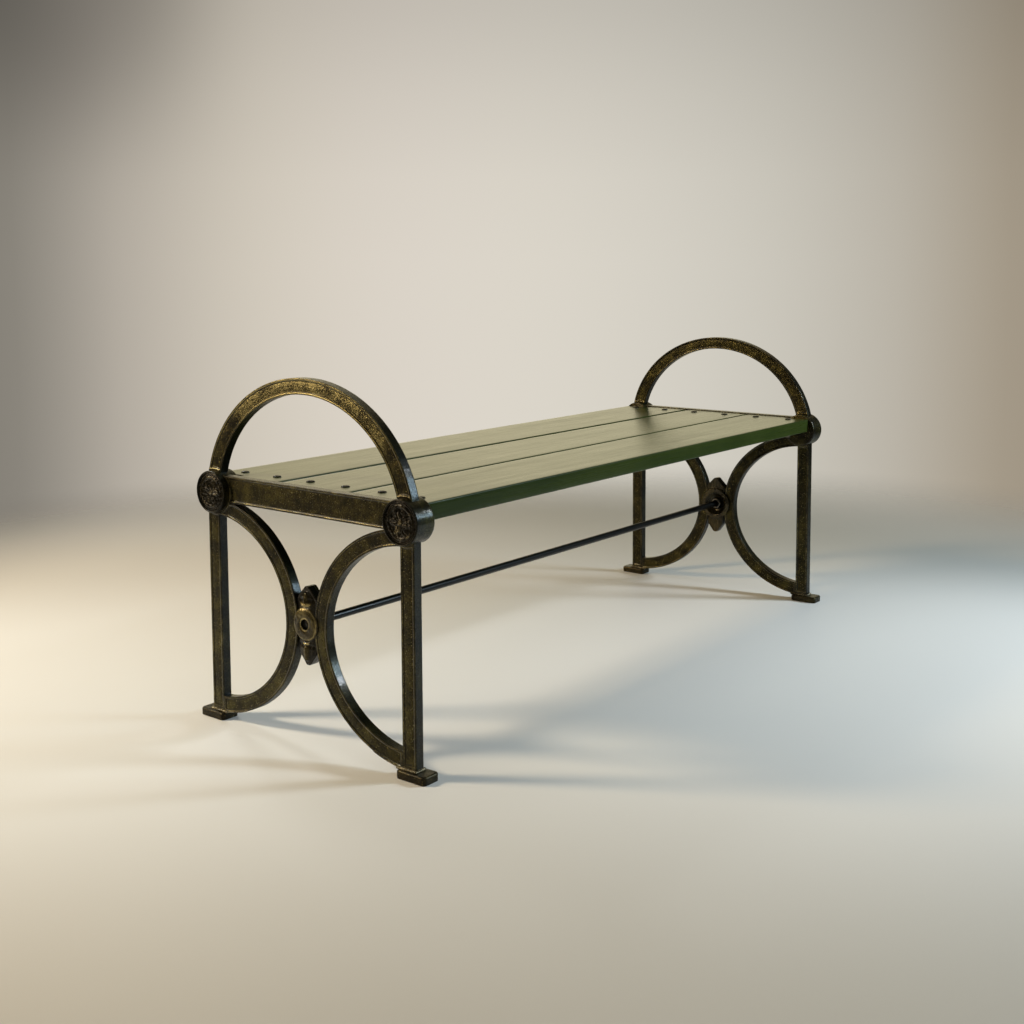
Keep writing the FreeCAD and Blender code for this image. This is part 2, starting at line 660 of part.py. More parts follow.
def tie_rod():
    body = doc.addObject("PartDesign::Body", "rod")
    profile = outline(body, "XY_Plane", "rod_profile", [
        ("-{rod_end_x}", "0"),
        ("-{rod_end_x}", "{rod_radius} - {rod_end_chamfer}"),
        ("-{rod_end_x} + {rod_end_chamfer}", "{rod_radius}"),
        ("{rod_end_x} - {rod_end_chamfer}", "{rod_radius}"),
        ("{rod_end_x}", "{rod_radius} - {rod_end_chamfer}"),
        ("{rod_end_x}", "0"),
    ])
    revolve(body, profile, "Revolution", "rod_turned")
    place(body, ("0", "0", "{rod_z}"))
    return body


# ---- the assembly ----

def build():
    fill_sheet()
    front_bow = bow_blank()
    rear_bow = mirrored("rear_bow_blank", front_bow, ALONG_Y)
    quarters = {"leg": leg(), "bow": bow(front_bow), "hub": hub(), "rosette": rosette(), "foot": foot()}
    ends = {
        "arm_hoop": hoop(),
        "seat_rail": seat_rail(),
        "leaf_boss": leaf_boss(front_bow, rear_bow),
        "rod_nut": rod_nut(),
        "seat_bolts": seat_bolts(),
        "seat_washers": seat_washers(),
        "seat_nuts": seat_nuts(),
    }
    for word, piece in quarters.items():
        ends[f"front_{word}"] = piece
        ends[f"rear_{word}"] = mirrored(f"rear_{word}", piece, ALONG_Y)
    for word, piece in ends.items():
        node(piece, f"left_{word}")
        node(mirrored(f"right_{word}", piece, ALONG_X), f"right_{word}")
    node(plank("front", FRONT, "-{seat_depth} / 2"), "front_plank")
    node(plank("middle", MIDDLE, "-{seat_depth} / 2 + {plank_width} + {front_gap}"), "middle_plank")
    node(plank("rear", REAR, "{seat_depth} / 2 - {plank_width}"), "rear_plank")
    node(tie_rod(), "tie_rod")
    doc.recompute()


def check():
    for thing in doc.Objects:
        if "Invalid" in thing.State or "Error" in thing.State:
            raise SystemExit(f"{thing.Label} failed: {thing.State}")
    for piece in nodes:
        if piece.Shape.isNull() or not piece.Shape.isValid() or not piece.Shape.Solids:
            raise SystemExit(f"{piece.Label} has no valid solid")


def write():
    os.makedirs("parts", exist_ok=True)
    for piece in nodes:
        piece.Shape.exportStep(f"parts/{piece.Label}.step")
        print(piece.Label, len(piece.Shape.Solids), round(piece.Shape.Volume / 1000, 2), "cm3")


build()
check()
write()
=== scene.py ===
import math

import bmesh
import bpy
import numpy as np
from mathutils import Matrix, Vector, noise


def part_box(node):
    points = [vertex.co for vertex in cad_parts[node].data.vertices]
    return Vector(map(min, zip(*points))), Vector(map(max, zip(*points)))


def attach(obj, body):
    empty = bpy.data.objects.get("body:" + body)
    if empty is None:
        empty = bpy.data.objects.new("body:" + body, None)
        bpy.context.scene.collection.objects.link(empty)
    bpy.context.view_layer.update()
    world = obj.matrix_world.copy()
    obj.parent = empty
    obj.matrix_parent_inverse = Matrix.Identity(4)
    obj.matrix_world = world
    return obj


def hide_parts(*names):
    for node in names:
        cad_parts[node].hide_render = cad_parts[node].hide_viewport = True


# Backless garden bench: cast iron end frames with round arms, three painted planks and a low tie rod.
# Sizes are in millimetres up to the moment a mesh is made. +X runs along the seat, -Y is the front.

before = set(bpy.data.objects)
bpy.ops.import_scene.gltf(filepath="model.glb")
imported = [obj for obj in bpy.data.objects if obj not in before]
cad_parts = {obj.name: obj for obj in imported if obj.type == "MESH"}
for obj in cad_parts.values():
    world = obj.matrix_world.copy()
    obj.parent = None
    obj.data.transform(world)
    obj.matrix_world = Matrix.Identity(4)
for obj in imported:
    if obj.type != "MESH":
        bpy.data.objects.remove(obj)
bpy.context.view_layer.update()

MM = 0.001
SIDES = (("left", -1), ("right", 1))
ENDS = (("front", -1), ("rear", 1))


def extent(node):
    """Lowest and highest corner of a part of the frame, in millimetres."""
    low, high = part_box(node)
    return np.array(low) / MM, np.array(high) / MM


# ---- sizes taken from the frame ----

leg_low, leg_high = extent("right_rear_leg")
hub_low, hub_high = extent("right_rear_hub")
foot_low, foot_high = extent("right_rear_foot")
rail_low, rail_high = extent("right_seat_rail")
boss_low, boss_high = extent("right_leaf_boss")
rod_low, rod_high = extent("tie_rod")
nut_low, nut_high = extent("right_rod_nut")
head_low, head_high = extent("right_seat_bolts")
washer_low, washer_high = extent("right_seat_washers")
seat_nut_low, seat_nut_high = extent("right_seat_nuts")

FRAME_X = (leg_low[0] + leg_high[0]) / 2
BAR_HALF = (leg_high[0] - leg_low[0]) / 2
LEG_INNER = leg_low[1]
LEG_OUTER = leg_high[1]
HUB_Y = (hub_low[1] + hub_high[1]) / 2
HUB_Z = (hub_low[2] + hub_high[2]) / 2
HUB_RADIUS = (hub_high[1] - hub_low[1]) / 2
HUB_OUT = hub_high[0] - FRAME_X
HUB_IN = hub_low[0] - FRAME_X
FOOT_TOP = foot_high[2]
RAIL_LOW = rail_low[2]
RAIL_TOP = rail_high[2]
SEAT_TOP = float(extent("middle_plank")[1][2])
PLANK_LOW = float(extent("middle_plank")[0][2])
BOSS_OUT = boss_high[0] - FRAME_X
BOSS_IN = boss_low[0] - FRAME_X
ROD_Z = (rod_low[2] + rod_high[2]) / 2
ROD_RADIUS = (rod_high[2] - rod_low[2]) / 2
BOLT_X = (washer_low[0] + washer_high[0]) / 2
LEG_WIDTH = LEG_OUTER - LEG_INNER
RAIL_DEPTH = RAIL_TOP - RAIL_LOW

# ---- sizes of the castings ----

RIM = 4.0
EDGE = 1.3
EMBED = 1.0
BOW_CENTRE = (231.9, 201.8)
BOW_INNER = (183.4, 162.0)
BOW_OUTER = (212.1, 189.6)
HOOP_Z = 389.9
HOOP_INNER = (214.2, 193.0)
HOOP_OUTER = (244.9, 220.3)
ROSETTE_RADIUS = 33.0
ROSETTE_PLATE = -2.2
LEAF = ((0, 66.6), (23, 43), (20, -49), (0, -74.4), (-20, -49), (-23, 43))
DISC_RADIUS = 28.5
FLANGE_RADIUS = 37.0
EYE_RADIUS = 9.0
DISH_MOUTH = 27.0
DISH_FLOOR = 16.0
DISH_DEPTH = 9.0
BOLT_PITCH = 83.0
BOLTS_PER_END = 6
HUB_ROOM = 38.3
HUB_CLEAR = 1.6
LEG_LENGTH = 355.0
BOW_WIDTH = 28.2
BOW_LENGTH = 500.0
HOOP_WIDTH = 29.0
HOOP_LENGTH = 640.0
RAIL_LENGTH = 380.0
LEDGE_REACH = 224.5
LEDGE_THICK = 6.0
BOLT_SHANK = 3.1
BOLT_ROOT = 2.6
BOW_WELD = 62.0


# ---- meshes ----

def set_out(name, data):
    """A new object in the scene that holds a mesh, a light or a camera."""
    thing = bpy.data.objects.new(name, data)
    bpy.context.scene.collection.objects.link(thing)
    return thing


def keep_mask(mesh, name, values):
    layer = mesh.attributes.new(name, "FLOAT", "POINT")
    layer.data.foreach_set("value", np.asarray(values, np.float32))


def skin(name, points, faces, masks=None):
    """One closed mesh in metres, normals outward, with its masks kept on the vertices."""
    mesh = bpy.data.meshes.new(name)
    mesh.from_pydata((np.asarray(points) * MM).tolist(), [], faces)
    for mask, values in (masks or {}).items():
        keep_mask(mesh, mask, values)
    work = bmesh.new()
    work.from_mesh(mesh)
    bmesh.ops.remove_doubles(work, verts=work.verts, dist=0.000004)
    bmesh.ops.recalc_face_normals(work, faces=work.faces)
    work.to_mesh(mesh)
    work.free()
    for polygon in mesh.polygons:
        polygon.use_smooth = True
    return set_out(name, mesh)


def loft(loops, masks=None, ring=False):
    """Points, faces and masks of a skin through equal closed loops, capped with a tip at each end."""
    loops = np.asarray(loops, float)
    rows, columns = loops.shape[:2]
    index = np.arange(rows * columns).reshape(rows, columns)
    around = np.roll(index, -1, axis=1)
    lower, upper = index[:-1], index[1:]
    lower_next, upper_next = around[:-1], around[1:]
    if ring:
        lower, upper = index, np.roll(index, -1, axis=0)
        lower_next, upper_next = around, np.roll(around, -1, axis=0)
    quads = np.stack([lower, lower_next, upper_next, upper], axis=-1).reshape(-1, 4)
    faces = quads.tolist()
    points = loops.reshape(-1, 3)
    flat = {mask: np.asarray(values, float).reshape(-1) for mask, values in (masks or {}).items()}
    if not ring:
        points = np.vstack([points, loops[0].mean(axis=0), loops[-1].mean(axis=0)])
        first_tip, last_tip = rows * columns, rows * columns + 1
        faces += [[first_tip, b, a] for a, b in zip(index[0], around[0])]
        faces += [[last_tip, a, b] for a, b in zip(index[-1], around[-1])]
        flat = {mask: np.append(values, (values[0], values[-1])) for mask, values in flat.items()}
    return points, faces, flat


def merged(name, parts):
    """One skin from several lofts."""
    points, faces, masks = [], [], {}
    count = 0
    for part_points, part_faces, part_masks in parts:
        points.append(part_points)
        faces += [[corner + count for corner in face] for face in part_faces]
        for mask in ("rub", "grit"):
            values = part_masks.get(mask, np.zeros(len(part_points)))
            masks.setdefault(mask, []).append(values)
        count += len(part_points)
    return skin(name, np.vstack(points), faces, {mask: np.concatenate(v) for mask, v in masks.items()})


def mask_of(mesh, name):
    values = np.zeros(len(mesh.vertices), np.float32)
    mesh.attributes[name].data.foreach_get("value", values)
    return values


def roughen(piece, depth, size, seed, floor=0.25):
    """Draws the surface in by up to depth, in lumps of that size. The grit mask says where it is roughest."""
    mesh = piece.data
    count = len(mesh.vertices)
    places = np.zeros(count * 3)
    mesh.vertices.foreach_get("co", places)
    places = places.reshape(-1, 3)
    normals = np.zeros(count * 3)
    mesh.vertex_normals.foreach_get("vector", normals)
    normals = normals.reshape(-1, 3)
    shift = Vector((17.3 * seed, 5.1 * seed, -9.7 * seed))
    lumps = np.array([noise.noise(Vector(place) / (size * MM) + shift) for place in places])
    draw = np.clip(0.5 + 0.7 * lumps, 0.0, 1.0)
    draw *= floor + (1.0 - floor) * mask_of(mesh, "grit")
    places -= normals * (draw * depth * MM)[:, None]
    mesh.vertices.foreach_set("co", places.reshape(-1))
    mesh.update()
    return piece


def cast(name, parts, seed):
    """A casting with its uneven skin: broad lumps, and finer ones over them."""
    piece = merged(f"{name}_casting", parts)
    roughen(piece, 0.30, 9.0, seed)
    roughen(piece, 0.22, 3.6, seed + 50)
    return piece


def finished(piece, nodes, material):
    """Hands a piece over to the frame: its finish, its body, and the plain solids it stands for."""
    piece.data.materials.clear()
    piece.data.materials.append(material)
    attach(piece, "root")
    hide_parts(*nodes)
    return piece


# ---- bars of the end frames ----

SUNK_PROFILE = ((0, 3.1, 3.8, 4.5, 5.2, 6.4, 9.0, 15.0), (0, 0, 0.30, 1.15, 1.45, 1.25, 1.0, 0.9))
RUB_PROFILE = ((0, 0.4, 1.2, 2.6, 3.3, 3.9, 4.6, 5.3, 99), (0.35, 0.4, 0.12, 0.2, 0.6, 0.5, 0.05, 0.0, 0.0))
# Grit mask across a bar's face by distance from its edge. The dip to 0.08 over the groove is painted shadow:
# the iron finishes darken their colour where this mask is low.
GRIT_AND_SHADE_PROFILE = ((0, 0.8, 2.8, 3.6, 4.3, 5.0, 6.2, 99), (0.35, 0.5, 0.5, 0.5, 0.08, 0.12, 1.0, 1.0))
COLLAR_PROFILE = ((0, 1.2, 2.4, 4.2, 5.2, 99), (0, 0.9, 1.1, 0.8, 0, 0))
FACE_STEPS = (1.3, 2.1, 3.0, 3.6, 4.1, 4.6, 5.2, 6.2, 8.0, 10.5)
WALL_STEPS = (-0.7, -0.35, 0.0, 0.35, 0.7)
END_STEPS = (0, 1.0, 2.0, 3.0, 3.8, 4.6, 5.4, 6.4, 8.0)
ROW_STEP = 2.3


def section(width):
    """Loop round a bar: share of the width, place along X, and whether the point is on a face."""
    corner = [(EDGE * (1 - math.cos(turn)), BAR_HALF - EDGE * (1 - math.sin(turn)))
              for turn in (0, math.radians(30), math.radians(60))]
    half = [(inset, depth, False) for inset, depth in corner]
    half += [(inset, BAR_HALF, True) for inset in FACE_STEPS]
    middle = [(width / 2, BAR_HALF, True)]
    back = [(width - inset, depth, on_face) for inset, depth, on_face in reversed(half)]
    face = half + middle + back
    wall = [(width, -BAR_HALF * step, False) for step in WALL_STEPS]
    other = [(inset, -depth, on_face) for inset, depth, on_face in reversed(face)]
    near_wall = [(0, BAR_HALF * step, False) for step in WALL_STEPS]
    return face + wall + other + near_wall


def stop(path, share, start, step, blocked):
    """The place along a bar where it runs into what holds it."""
    position = start
    while not blocked(*path(position, share)):
        position += step
    low, high = position - step, position
    for _ in range(24):
        middle = (low + high) / 2
        if blocked(*path(middle, share)):
            high = middle
        else:
            low = middle
    return high


def bar_loft(side, path, start, step, blocked, end_gap, width, length, collar=None, flip_y=1, handled=None):
    """A bar along a path: rims at its edges and ends, sunk panels on both faces."""
    loop = section(width)
    near = list(END_STEPS)
    inner = int((length - 2 * near[-1]) / ROW_STEP)
    rows = near + list(np.linspace(near[-1], length - near[-1], inner + 2)[1:-1])
    rows += [length - value for value in reversed(near)]
    rows = np.array(rows) / length
    ends = {}
    for inset, _, _ in loop:
        share = inset / width
        if share not in ends:
            ends[share] = (stop(path, share, start, -step, blocked), stop(path, share, start, step, blocked))
    loops, rub, grit = [], [], []
    for row in rows:
        ring_points, ring_rub, ring_grit = [], [], []
        for inset, depth, on_face in loop:
            share = inset / width
            first, last = ends[share]
            y, z = path(first + (last - first) * row, share)
            to_edge = min(inset, width - inset)
            gap = min(to_edge, max(end_gap(y, z), 0))
            sunk = np.interp(gap, *SUNK_PROFILE) if on_face else 0.0
            if collar is not None and on_face:
                sunk -= np.interp(collar(y, z), *COLLAR_PROFILE)
            x = math.copysign(abs(depth) - sunk, depth)
            ring_points.append((side * (FRAME_X + x), flip_y * y, z))
            on_edge = abs(depth) > BAR_HALF * 0.85
            rubbed = np.interp(gap, *RUB_PROFILE) if on_edge else 0.08
            if handled is not None and on_edge and depth > 0:
                rubbed += handled(y, z)
            ring_rub.append(rubbed)
            ring_grit.append(float(np.interp(gap, *GRIT_AND_SHADE_PROFILE)) if on_face else 0.28)
        loops.append(ring_points)
        rub.append(ring_rub)
        grit.append(ring_grit)
    return loft(loops, {"rub": rub, "grit": grit})


def hub_gap(y, z):
    """How far a point of an end frame is outside the nearer hub."""
    return math.hypot(abs(y) - HUB_Y, z - HUB_Z) - HUB_RADIUS


def oval_path(centre, inner, outer):
    """Places on the ring between two ovals, by angle and by share of its width."""
    def path(angle, share):
        reach = inner[0] + (outer[0] - inner[0]) * share
        rise = inner[1] + (outer[1] - inner[1]) * share
        return centre[0] - reach * math.cos(angle), centre[1] + rise * math.sin(angle)
    return path


def leg(side, end):
    def path(z, share):
        return LEG_INNER + LEG_WIDTH * share, z

    def blocked(y, z):
        return z < FOOT_TOP - EMBED or hub_gap(y, z) < -EMBED

    def end_gap(y, z):
        return min(hub_gap(y, z), z - FOOT_TOP - RIM)
    return bar_loft(side, path, 200.0, 2.0, blocked, end_gap, LEG_WIDTH, LEG_LENGTH, flip_y=end)


def bow(side, end):
    path = oval_path(BOW_CENTRE, BOW_INNER, BOW_OUTER)

    def blocked(y, z):
        beyond = y > LEG_INNER + EMBED or z > RAIL_LOW + EMBED
        return beyond or hub_gap(y, z) < -EMBED

    def end_gap(y, z):
        return min(hub_gap(y, z), LEG_INNER - y, RAIL_LOW - z, z - FOOT_TOP)
    return bar_loft(side, path, 0.0, 0.01, blocked, end_gap, BOW_WIDTH, BOW_LENGTH, flip_y=end)


def hoop(side):
    path = oval_path((0.0, HOOP_Z), HOOP_INNER, HOOP_OUTER)

    def blocked(y, z):
        return hub_gap(y, z) < -EMBED

    def handled(y, z):
        return float(np.interp(z, (405.0, 470.0, 540.0, 600.0), (0.04, 0.18, 0.38, 0.50)))
    return bar_loft(side, path, math.pi / 2, 0.01, blocked, hub_gap, HOOP_WIDTH, HOOP_LENGTH,
                    collar=hub_gap, handled=handled)


def seat_rail_web(side):
    def path(y, share):
        return y, RAIL_LOW + RAIL_DEPTH * share

    def blocked(y, z):
        return hub_gap(y, z) < -EMBED
    return bar_loft(side, path, 0.0, 2.0, blocked, hub_gap, RAIL_DEPTH, RAIL_LENGTH)


def rounded_plate(outline, low, high, edge, place):
    """A plate on a straight-sided outline, its edges broken by a small round."""
    outline = np.asarray(outline, float)
    centre = outline.mean(axis=0)
    loops = []
    for inset, level in ((edge, low), (0.3 * edge, low + 0.3 * edge), (0, low + edge),
                         (0, high - edge), (0.3 * edge, high - 0.3 * edge), (edge, high)):
        reach = np.abs(outline - centre)
        shrunk = centre + np.sign(outline - centre) * np.maximum(reach - inset, 0)
        loops.append([place(u, v, level) for u, v in shrunk])
    return loops


def fine_outline(corners, step):
    """The same outline with points no further apart than step."""
    points = []
    for first, second in zip(corners, corners[1:] + corners[:1]):
        count = max(1, int(math.dist(first, second) / step))
        for share in range(count):
            points.append(tuple(a + (b - a) * share / count for a, b in zip(first, second)))
    return points


def ledge(side):
    """The shelf that the planks are bolted down to, notched round both hubs."""
    inner, outer = rail_low[0], FRAME_X
    room_x = FRAME_X + HUB_IN - HUB_CLEAR
    notch = HUB_Y - HUB_ROOM
    reach = LEDGE_REACH
    corners = [(inner, -reach), (room_x, -reach), (room_x, -notch), (outer, -notch),
               (outer, notch), (room_x, notch), (room_x, reach), (inner, reach)]
    outline = fine_outline(corners, 12.0)
    loops = rounded_plate(outline, PLANK_LOW - LEDGE_THICK, PLANK_LOW - 0.05, 0.7,
                          lambda u, v, level: (side * u, v, level))
    grit = np.full((len(loops), len(outline)), 0.5)
    rub = np.full((len(loops), len(outline)), 0.1)
    return loft(loops, {"grit": grit, "rub": rub})


# ---- turned and cast round pieces ----

def turned(profile, count, place):
    """Loops of a shape turned round an axis, from (along, radius) pairs."""
    turns = np.linspace(0, 2 * math.pi, count, endpoint=False)
    return [[place(along, radius, turn) for turn in turns] for along, radius in profile]


def hub_place(side, end):
    def place(along, radius, turn):
        y = end * HUB_Y + radius * math.cos(turn)
        return side * (FRAME_X + along), y, HUB_Z + radius * math.sin(turn)
    return place


HUB_SECTION = (
    # from the rosette's seat over the rim, along the barrel, to the back: along X, radius, rub, grit
    (HUB_OUT - 3.6, 8.0, 0.0, 0.2), (HUB_OUT - 3.6, 33.2, 0.0, 0.2), (HUB_OUT - 1.2, 33.3, 0.1, 0.1),
    (HUB_OUT - 0.5, 33.5, 0.4, 0.1), (HUB_OUT - 0.1, 34.0, 0.55, 0.1), (HUB_OUT, 34.8, 0.4, 0.1),
    (HUB_OUT - 0.2, 35.6, 0.4, 0.1), (HUB_OUT - 0.7, 36.25, 0.3, 0.1), (HUB_OUT - 1.5, 36.6, 0.15, 0.3),
    (HUB_OUT - 2.6, 36.7, 0.1, 0.4), (HUB_OUT - 4.5, 36.7, 0.05, 0.5), (HUB_OUT - 7.0, 36.65, 0.0, 0.6),
    (HUB_OUT - 10.0, 36.6, 0.0, 0.6), (0.0, 36.55, 0.0, 0.6), (-9.0, 36.6, 0.0, 0.6),
    (HUB_IN + 9.0, 36.65, 0.0, 0.6), (HUB_IN + 6.0, 36.7, 0.0, 0.6), (HUB_IN + 3.0, 36.65, 0.05, 0.5),
    (HUB_IN + 1.6, 36.4, 0.3, 0.3), (HUB_IN + 0.7, 35.9, 0.6, 0.2), (HUB_IN + 0.15, 35.1, 0.5, 0.2),
    (HUB_IN, 34.0, 0.2, 0.4), (HUB_IN + 0.05, 28.0, 0.0, 0.8), (HUB_IN + 0.1, 18.0, 0.0, 0.8),
    (HUB_IN + 0.1, 8.0, 0.0, 0.8),
)


def fine_section(pairs, step):
    """The same section with rows no further apart than step."""
    rows = [pairs[0]]
    for first, second in zip(pairs, pairs[1:]):
        count = max(1, math.ceil(math.dist(first[:2], second[:2]) / step))
        for share in range(1, count + 1):
            rows.append(tuple(a + (b - a) * share / count for a, b in zip(first, second)))
    return rows


def hub(side, end):
    rows = fine_section(HUB_SECTION, 3.0)
    count = 112
    loops = turned([row[:2] for row in rows], count, hub_place(side, end))
    rub = [[row[2]] * count for row in rows]
    grit = [[row[3]] * count for row in rows]
    return loft(loops, {"rub": rub, "grit": grit})


def bump_at(distance, width):
    return math.exp(-((distance / width) ** 2))


def rosette_height(radius, turn, seed):
    """Height of the worn flower and the casting's dints above the rosette's plate."""
    spot = Vector((radius * math.cos(turn) / 6.0, radius * math.sin(turn) / 6.0, 3.3 * seed))
    pull = noise.noise(spot)
    turn_at = turn + 0.20 * pull
    radius_at = radius + 1.6 * noise.noise(spot + Vector((9.0, 0.0, 4.0)))
    pitch = 2 * math.pi / 6
    index = round(turn_at / pitch) % 6
    off = turn_at - round(turn_at / pitch) * pitch
    worn = 0.75 + 0.9 * noise.noise(Vector((index * 3.7 + 0.4, seed * 9.1, 0.4)))
    across = off * radius_at
    width = 6.4 * math.sqrt(max(0.0, 1 - ((radius_at - 14.3) / 8.8) ** 2))
    petal = 0.0
    if width > 0.3 and abs(across) < width:
        petal = (1 - (across / width) ** 2) ** 0.6
        petal *= 1.6 - 1.1 * bump_at(across, 1.5)
    eye = float(np.interp(radius_at, (0, 2.0, 3.6, 5.2, 6.0), (1.5, 1.35, 1.1, 0.5, 0)))
    faded = 0.75 + 0.6 * noise.noise(Vector((2.0 * math.cos(turn), 2.0 * math.sin(turn), seed)))
    ring = faded * float(np.interp(radius, (22.4, 23.6, 24.6, 26.0, 27.0, 28.2), (0, 1.0, 1.4, 1.4, 1.0, 0)))
    outer = faded * float(np.interp(radius, (29.2, 30.0, 31.0, 31.9), (0, 0.5, 0.5, 0)))
    dint = 0.6 * noise.noise(Vector((radius * math.cos(turn) / 4.6, radius * math.sin(turn) / 4.6, seed)))
    height = max(petal * max(worn, 0.2), eye) + ring + outer
    return min(height + dint, 1.9)


def rosette(side, end, seed):
    """Low relief flower in the hub's face: a disc of rings of points, thick enough to be a solid plate."""
    count = 176
    turns = np.linspace(0, 2 * math.pi, count, endpoint=False)
    radii = np.concatenate([np.linspace(0.6, 32.4, 52), [32.8, ROSETTE_RADIUS]])
    place = hub_place(side, end)
    base = HUB_OUT + ROSETTE_PLATE
    loops, rub, grit = [], [], []
    for radius in radii:
        edge = np.interp(radius, (32.2, ROSETTE_RADIUS), (0, 0.4))
        heights = [rosette_height(radius, turn, seed) for turn in turns]
        loops.append([place(base + height - edge, radius, turn) for height, turn in zip(heights, turns)])
        rub.append([min(1.0, max(0.0, height * 0.6 - 0.15)) for height in heights])
        grit.append([0.5] * count)
    for along, radius in ((base - 1.35, ROSETTE_RADIUS), (base - 1.35, 12.0)):
        loops.append([place(along, radius, turn) for turn in turns])
        rub.append([0.0] * count)
        grit.append([0.0] * count)
    return loft(loops, {"rub": rub, "grit": grit})


# ---- feet ----

def pad_outline(half_x, half_y, corner):
    """Rounded rectangle about the origin, the same count of points whatever its size."""
    points = []
    for sign_x, sign_y, start in ((1, 1, 0), (-1, 1, 90), (-1, -1, 180), (1, -1, 270)):
        for share in range(9):
            turn = math.radians(start + 90 * share / 8)
            x = sign_x * (half_x - corner) + corner * math.cos(turn)
            points.append((x, sign_y * (half_y - corner) + corner * math.sin(turn)))
        next_sign = {0: (-1, 1), 90: (-1, -1), 180: (1, -1), 270: (1, 1)}[start]
        ahead = math.radians(start + 90)
        x_end = next_sign[0] * (half_x - corner) + corner * math.cos(ahead)
        y_end = next_sign[1] * (half_y - corner) + corner * math.sin(ahead)
        x_start, y_start = points[-1]
        for share in range(1, 14):
            t = share / 14
            points.append((x_start + (x_end - x_start) * t, y_start + (y_end - y_start) * t))
    return points


def foot(side, end):
    half_x = (foot_high[0] - foot_low[0]) / 2
    half_y = (foot_high[1] - foot_low[1]) / 2
    middle_x = (foot_high[0] + foot_low[0]) / 2
    middle_y = (foot_high[1] + foot_low[1]) / 2
    top_edge = 3.4
    rows = [(10.0, 0.0, 0.0), (1.0, 0.0, 0.0), (0.35, 0.3, 0.1), (0.0, 1.1, 0.2)]
    rows += [(0.0, level, 0.1) for level in np.linspace(3.0, FOOT_TOP - top_edge, 5)]
    for turn in (22, 45, 68, 90):
        share = math.radians(turn)
        inset = top_edge * (1 - math.cos(share))
        rows.append((inset, FOOT_TOP - top_edge * (1 - math.sin(share)), 0.25))
    rows += [(5.0, FOOT_TOP, 0.2), (7.5, FOOT_TOP, 0.2), (10.0, FOOT_TOP, 0.1), (13.0, FOOT_TOP, 0.1),
             (15.5, FOOT_TOP, 0.1)]
    loops, rub, grit = [], [], []
    for inset, level, rubbed in rows:
        outline = pad_outline(half_x - inset, half_y - inset, max(6.8 - inset * 0.75, 0.8))
        loops.append([(side * (middle_x + x), end * (middle_y + y), level) for x, y in outline])
        rub.append([rubbed] * len(outline))
        grit.append([0.0 if level < 0.5 else 1.0] * len(outline))
    return loft(loops, {"rub": rub, "grit": grit})


# ---- leaf boss ----

def leaf_reach(turn):
    """From the rod's axis to the leaf's outline, in the direction of turn from the front towards the top."""
    ray = (math.cos(turn), math.sin(turn))
    best = 0.0
    for (y1, z1), (y2, z2) in zip(LEAF, LEAF[1:] + LEAF[:1]):
        edge_y, edge_z = y2 - y1, z2 - z1
        cross = ray[0] * edge_z - ray[1] * edge_y
        if abs(cross) < 1e-9:
            continue
        along = (y1 * edge_z - z1 * edge_y) / cross
        share = (y1 * ray[1] - z1 * ray[0]) / cross
        if along > 0 and -1e-6 <= share <= 1 + 1e-6:
            best = max(best, along)
    return best


def boss_reaches(count):
    turns = np.linspace(0, 2 * math.pi, count, endpoint=False)
    leaf = np.array([leaf_reach(turn) for turn in turns])
    soft = np.array([0.06, 0.12, 0.2, 0.24, 0.2, 0.12, 0.06])
    padded = np.concatenate([leaf[-3:], leaf, leaf[:3]])
    leaf = np.minimum(np.convolve(padded, soft, "valid"), leaf)
    upper_tip, lower_tip = 62.9, 69.2
    leaf = np.minimum(leaf, np.where(np.sin(turns) > 0, upper_tip, lower_tip))
    return turns, np.maximum(leaf, DISC_RADIUS), np.maximum(leaf, FLANGE_RADIUS)


def leaf_relief(y, z, edge_gap):
    """Outer face of the boss above the bars' faces, and how rubbed it is. y and z are from the rod."""
    radius = math.hypot(y, z)
    disc = np.interp(radius, (9.0, 10.2, 14.0, 18.0, 22.0, 25.5, 27.6, 28.6, 29.8),
                     (2.3, 3.2, 4.0, 3.9, 3.3, 2.4, 1.4, 0.2, -0.6))
    disc_rub = np.interp(radius, (9.0, 10.2, 13.0, 23.0, 26.0, 28.6), (1.2, 0.8, 0.2, 0.3, 0.7, 0.0))
    drop = abs(y)
    if z > 0:
        ridge = 4.0 - 0.20 * drop - 0.010 * drop ** 2
        curl = 1.5 * bump_at(z - 32.5 - 0.018 * y * y, 2.6) * bump_at(drop - 6, 8.0)
        hollow = 2.2 * bump_at(z - 40.5, 4.0) * bump_at(drop - 9.5, 6.5)
        leaf = ridge + curl - hollow
        leaf_rub = 0.25 + 0.75 * curl - 0.2 * hollow + 0.3 * bump_at(drop, 1.6)
        leaf -= 0.25 * max(0.0, z - 40.0)
    else:
        ridge = 3.9 - 0.34 * drop
        lip = 1.3 * bump_at(z + 31.5, 1.7) * bump_at(y + 3, 8.0)
        groove = 1.6 * bump_at(z + 35.5, 2.6)
        leaf = ridge + lip - groove - 0.9 * bump_at(drop - 9.5, 3.0)
        leaf_rub = 0.15 + 0.9 * lip + 0.35 * bump_at(drop, 2.2)
        leaf -= 0.12 * max(0.0, -z - 50.0)
    margin = 4.2 + (0.55 * max(0.0, z - 44.0) if z > 0 else 0.35 * max(0.0, -z - 52.0))
    step = float(np.interp(edge_gap - margin, (-1.0, 0.0, 1.2, 4.0), (1.0, 0.72, 0.12, 0.0)))
    leaf = leaf * (1 - step) + (-3.4 - 0.5 * max(0.0, 1.5 - edge_gap)) * step
    leaf_rub *= 1 - step
    if radius < 28.6 and disc >= min(leaf, 2.0):
        return disc, disc_rub
    if radius < 30.4:
        return min(leaf, max(disc, 0.3)), 0.0
    return leaf, leaf_rub


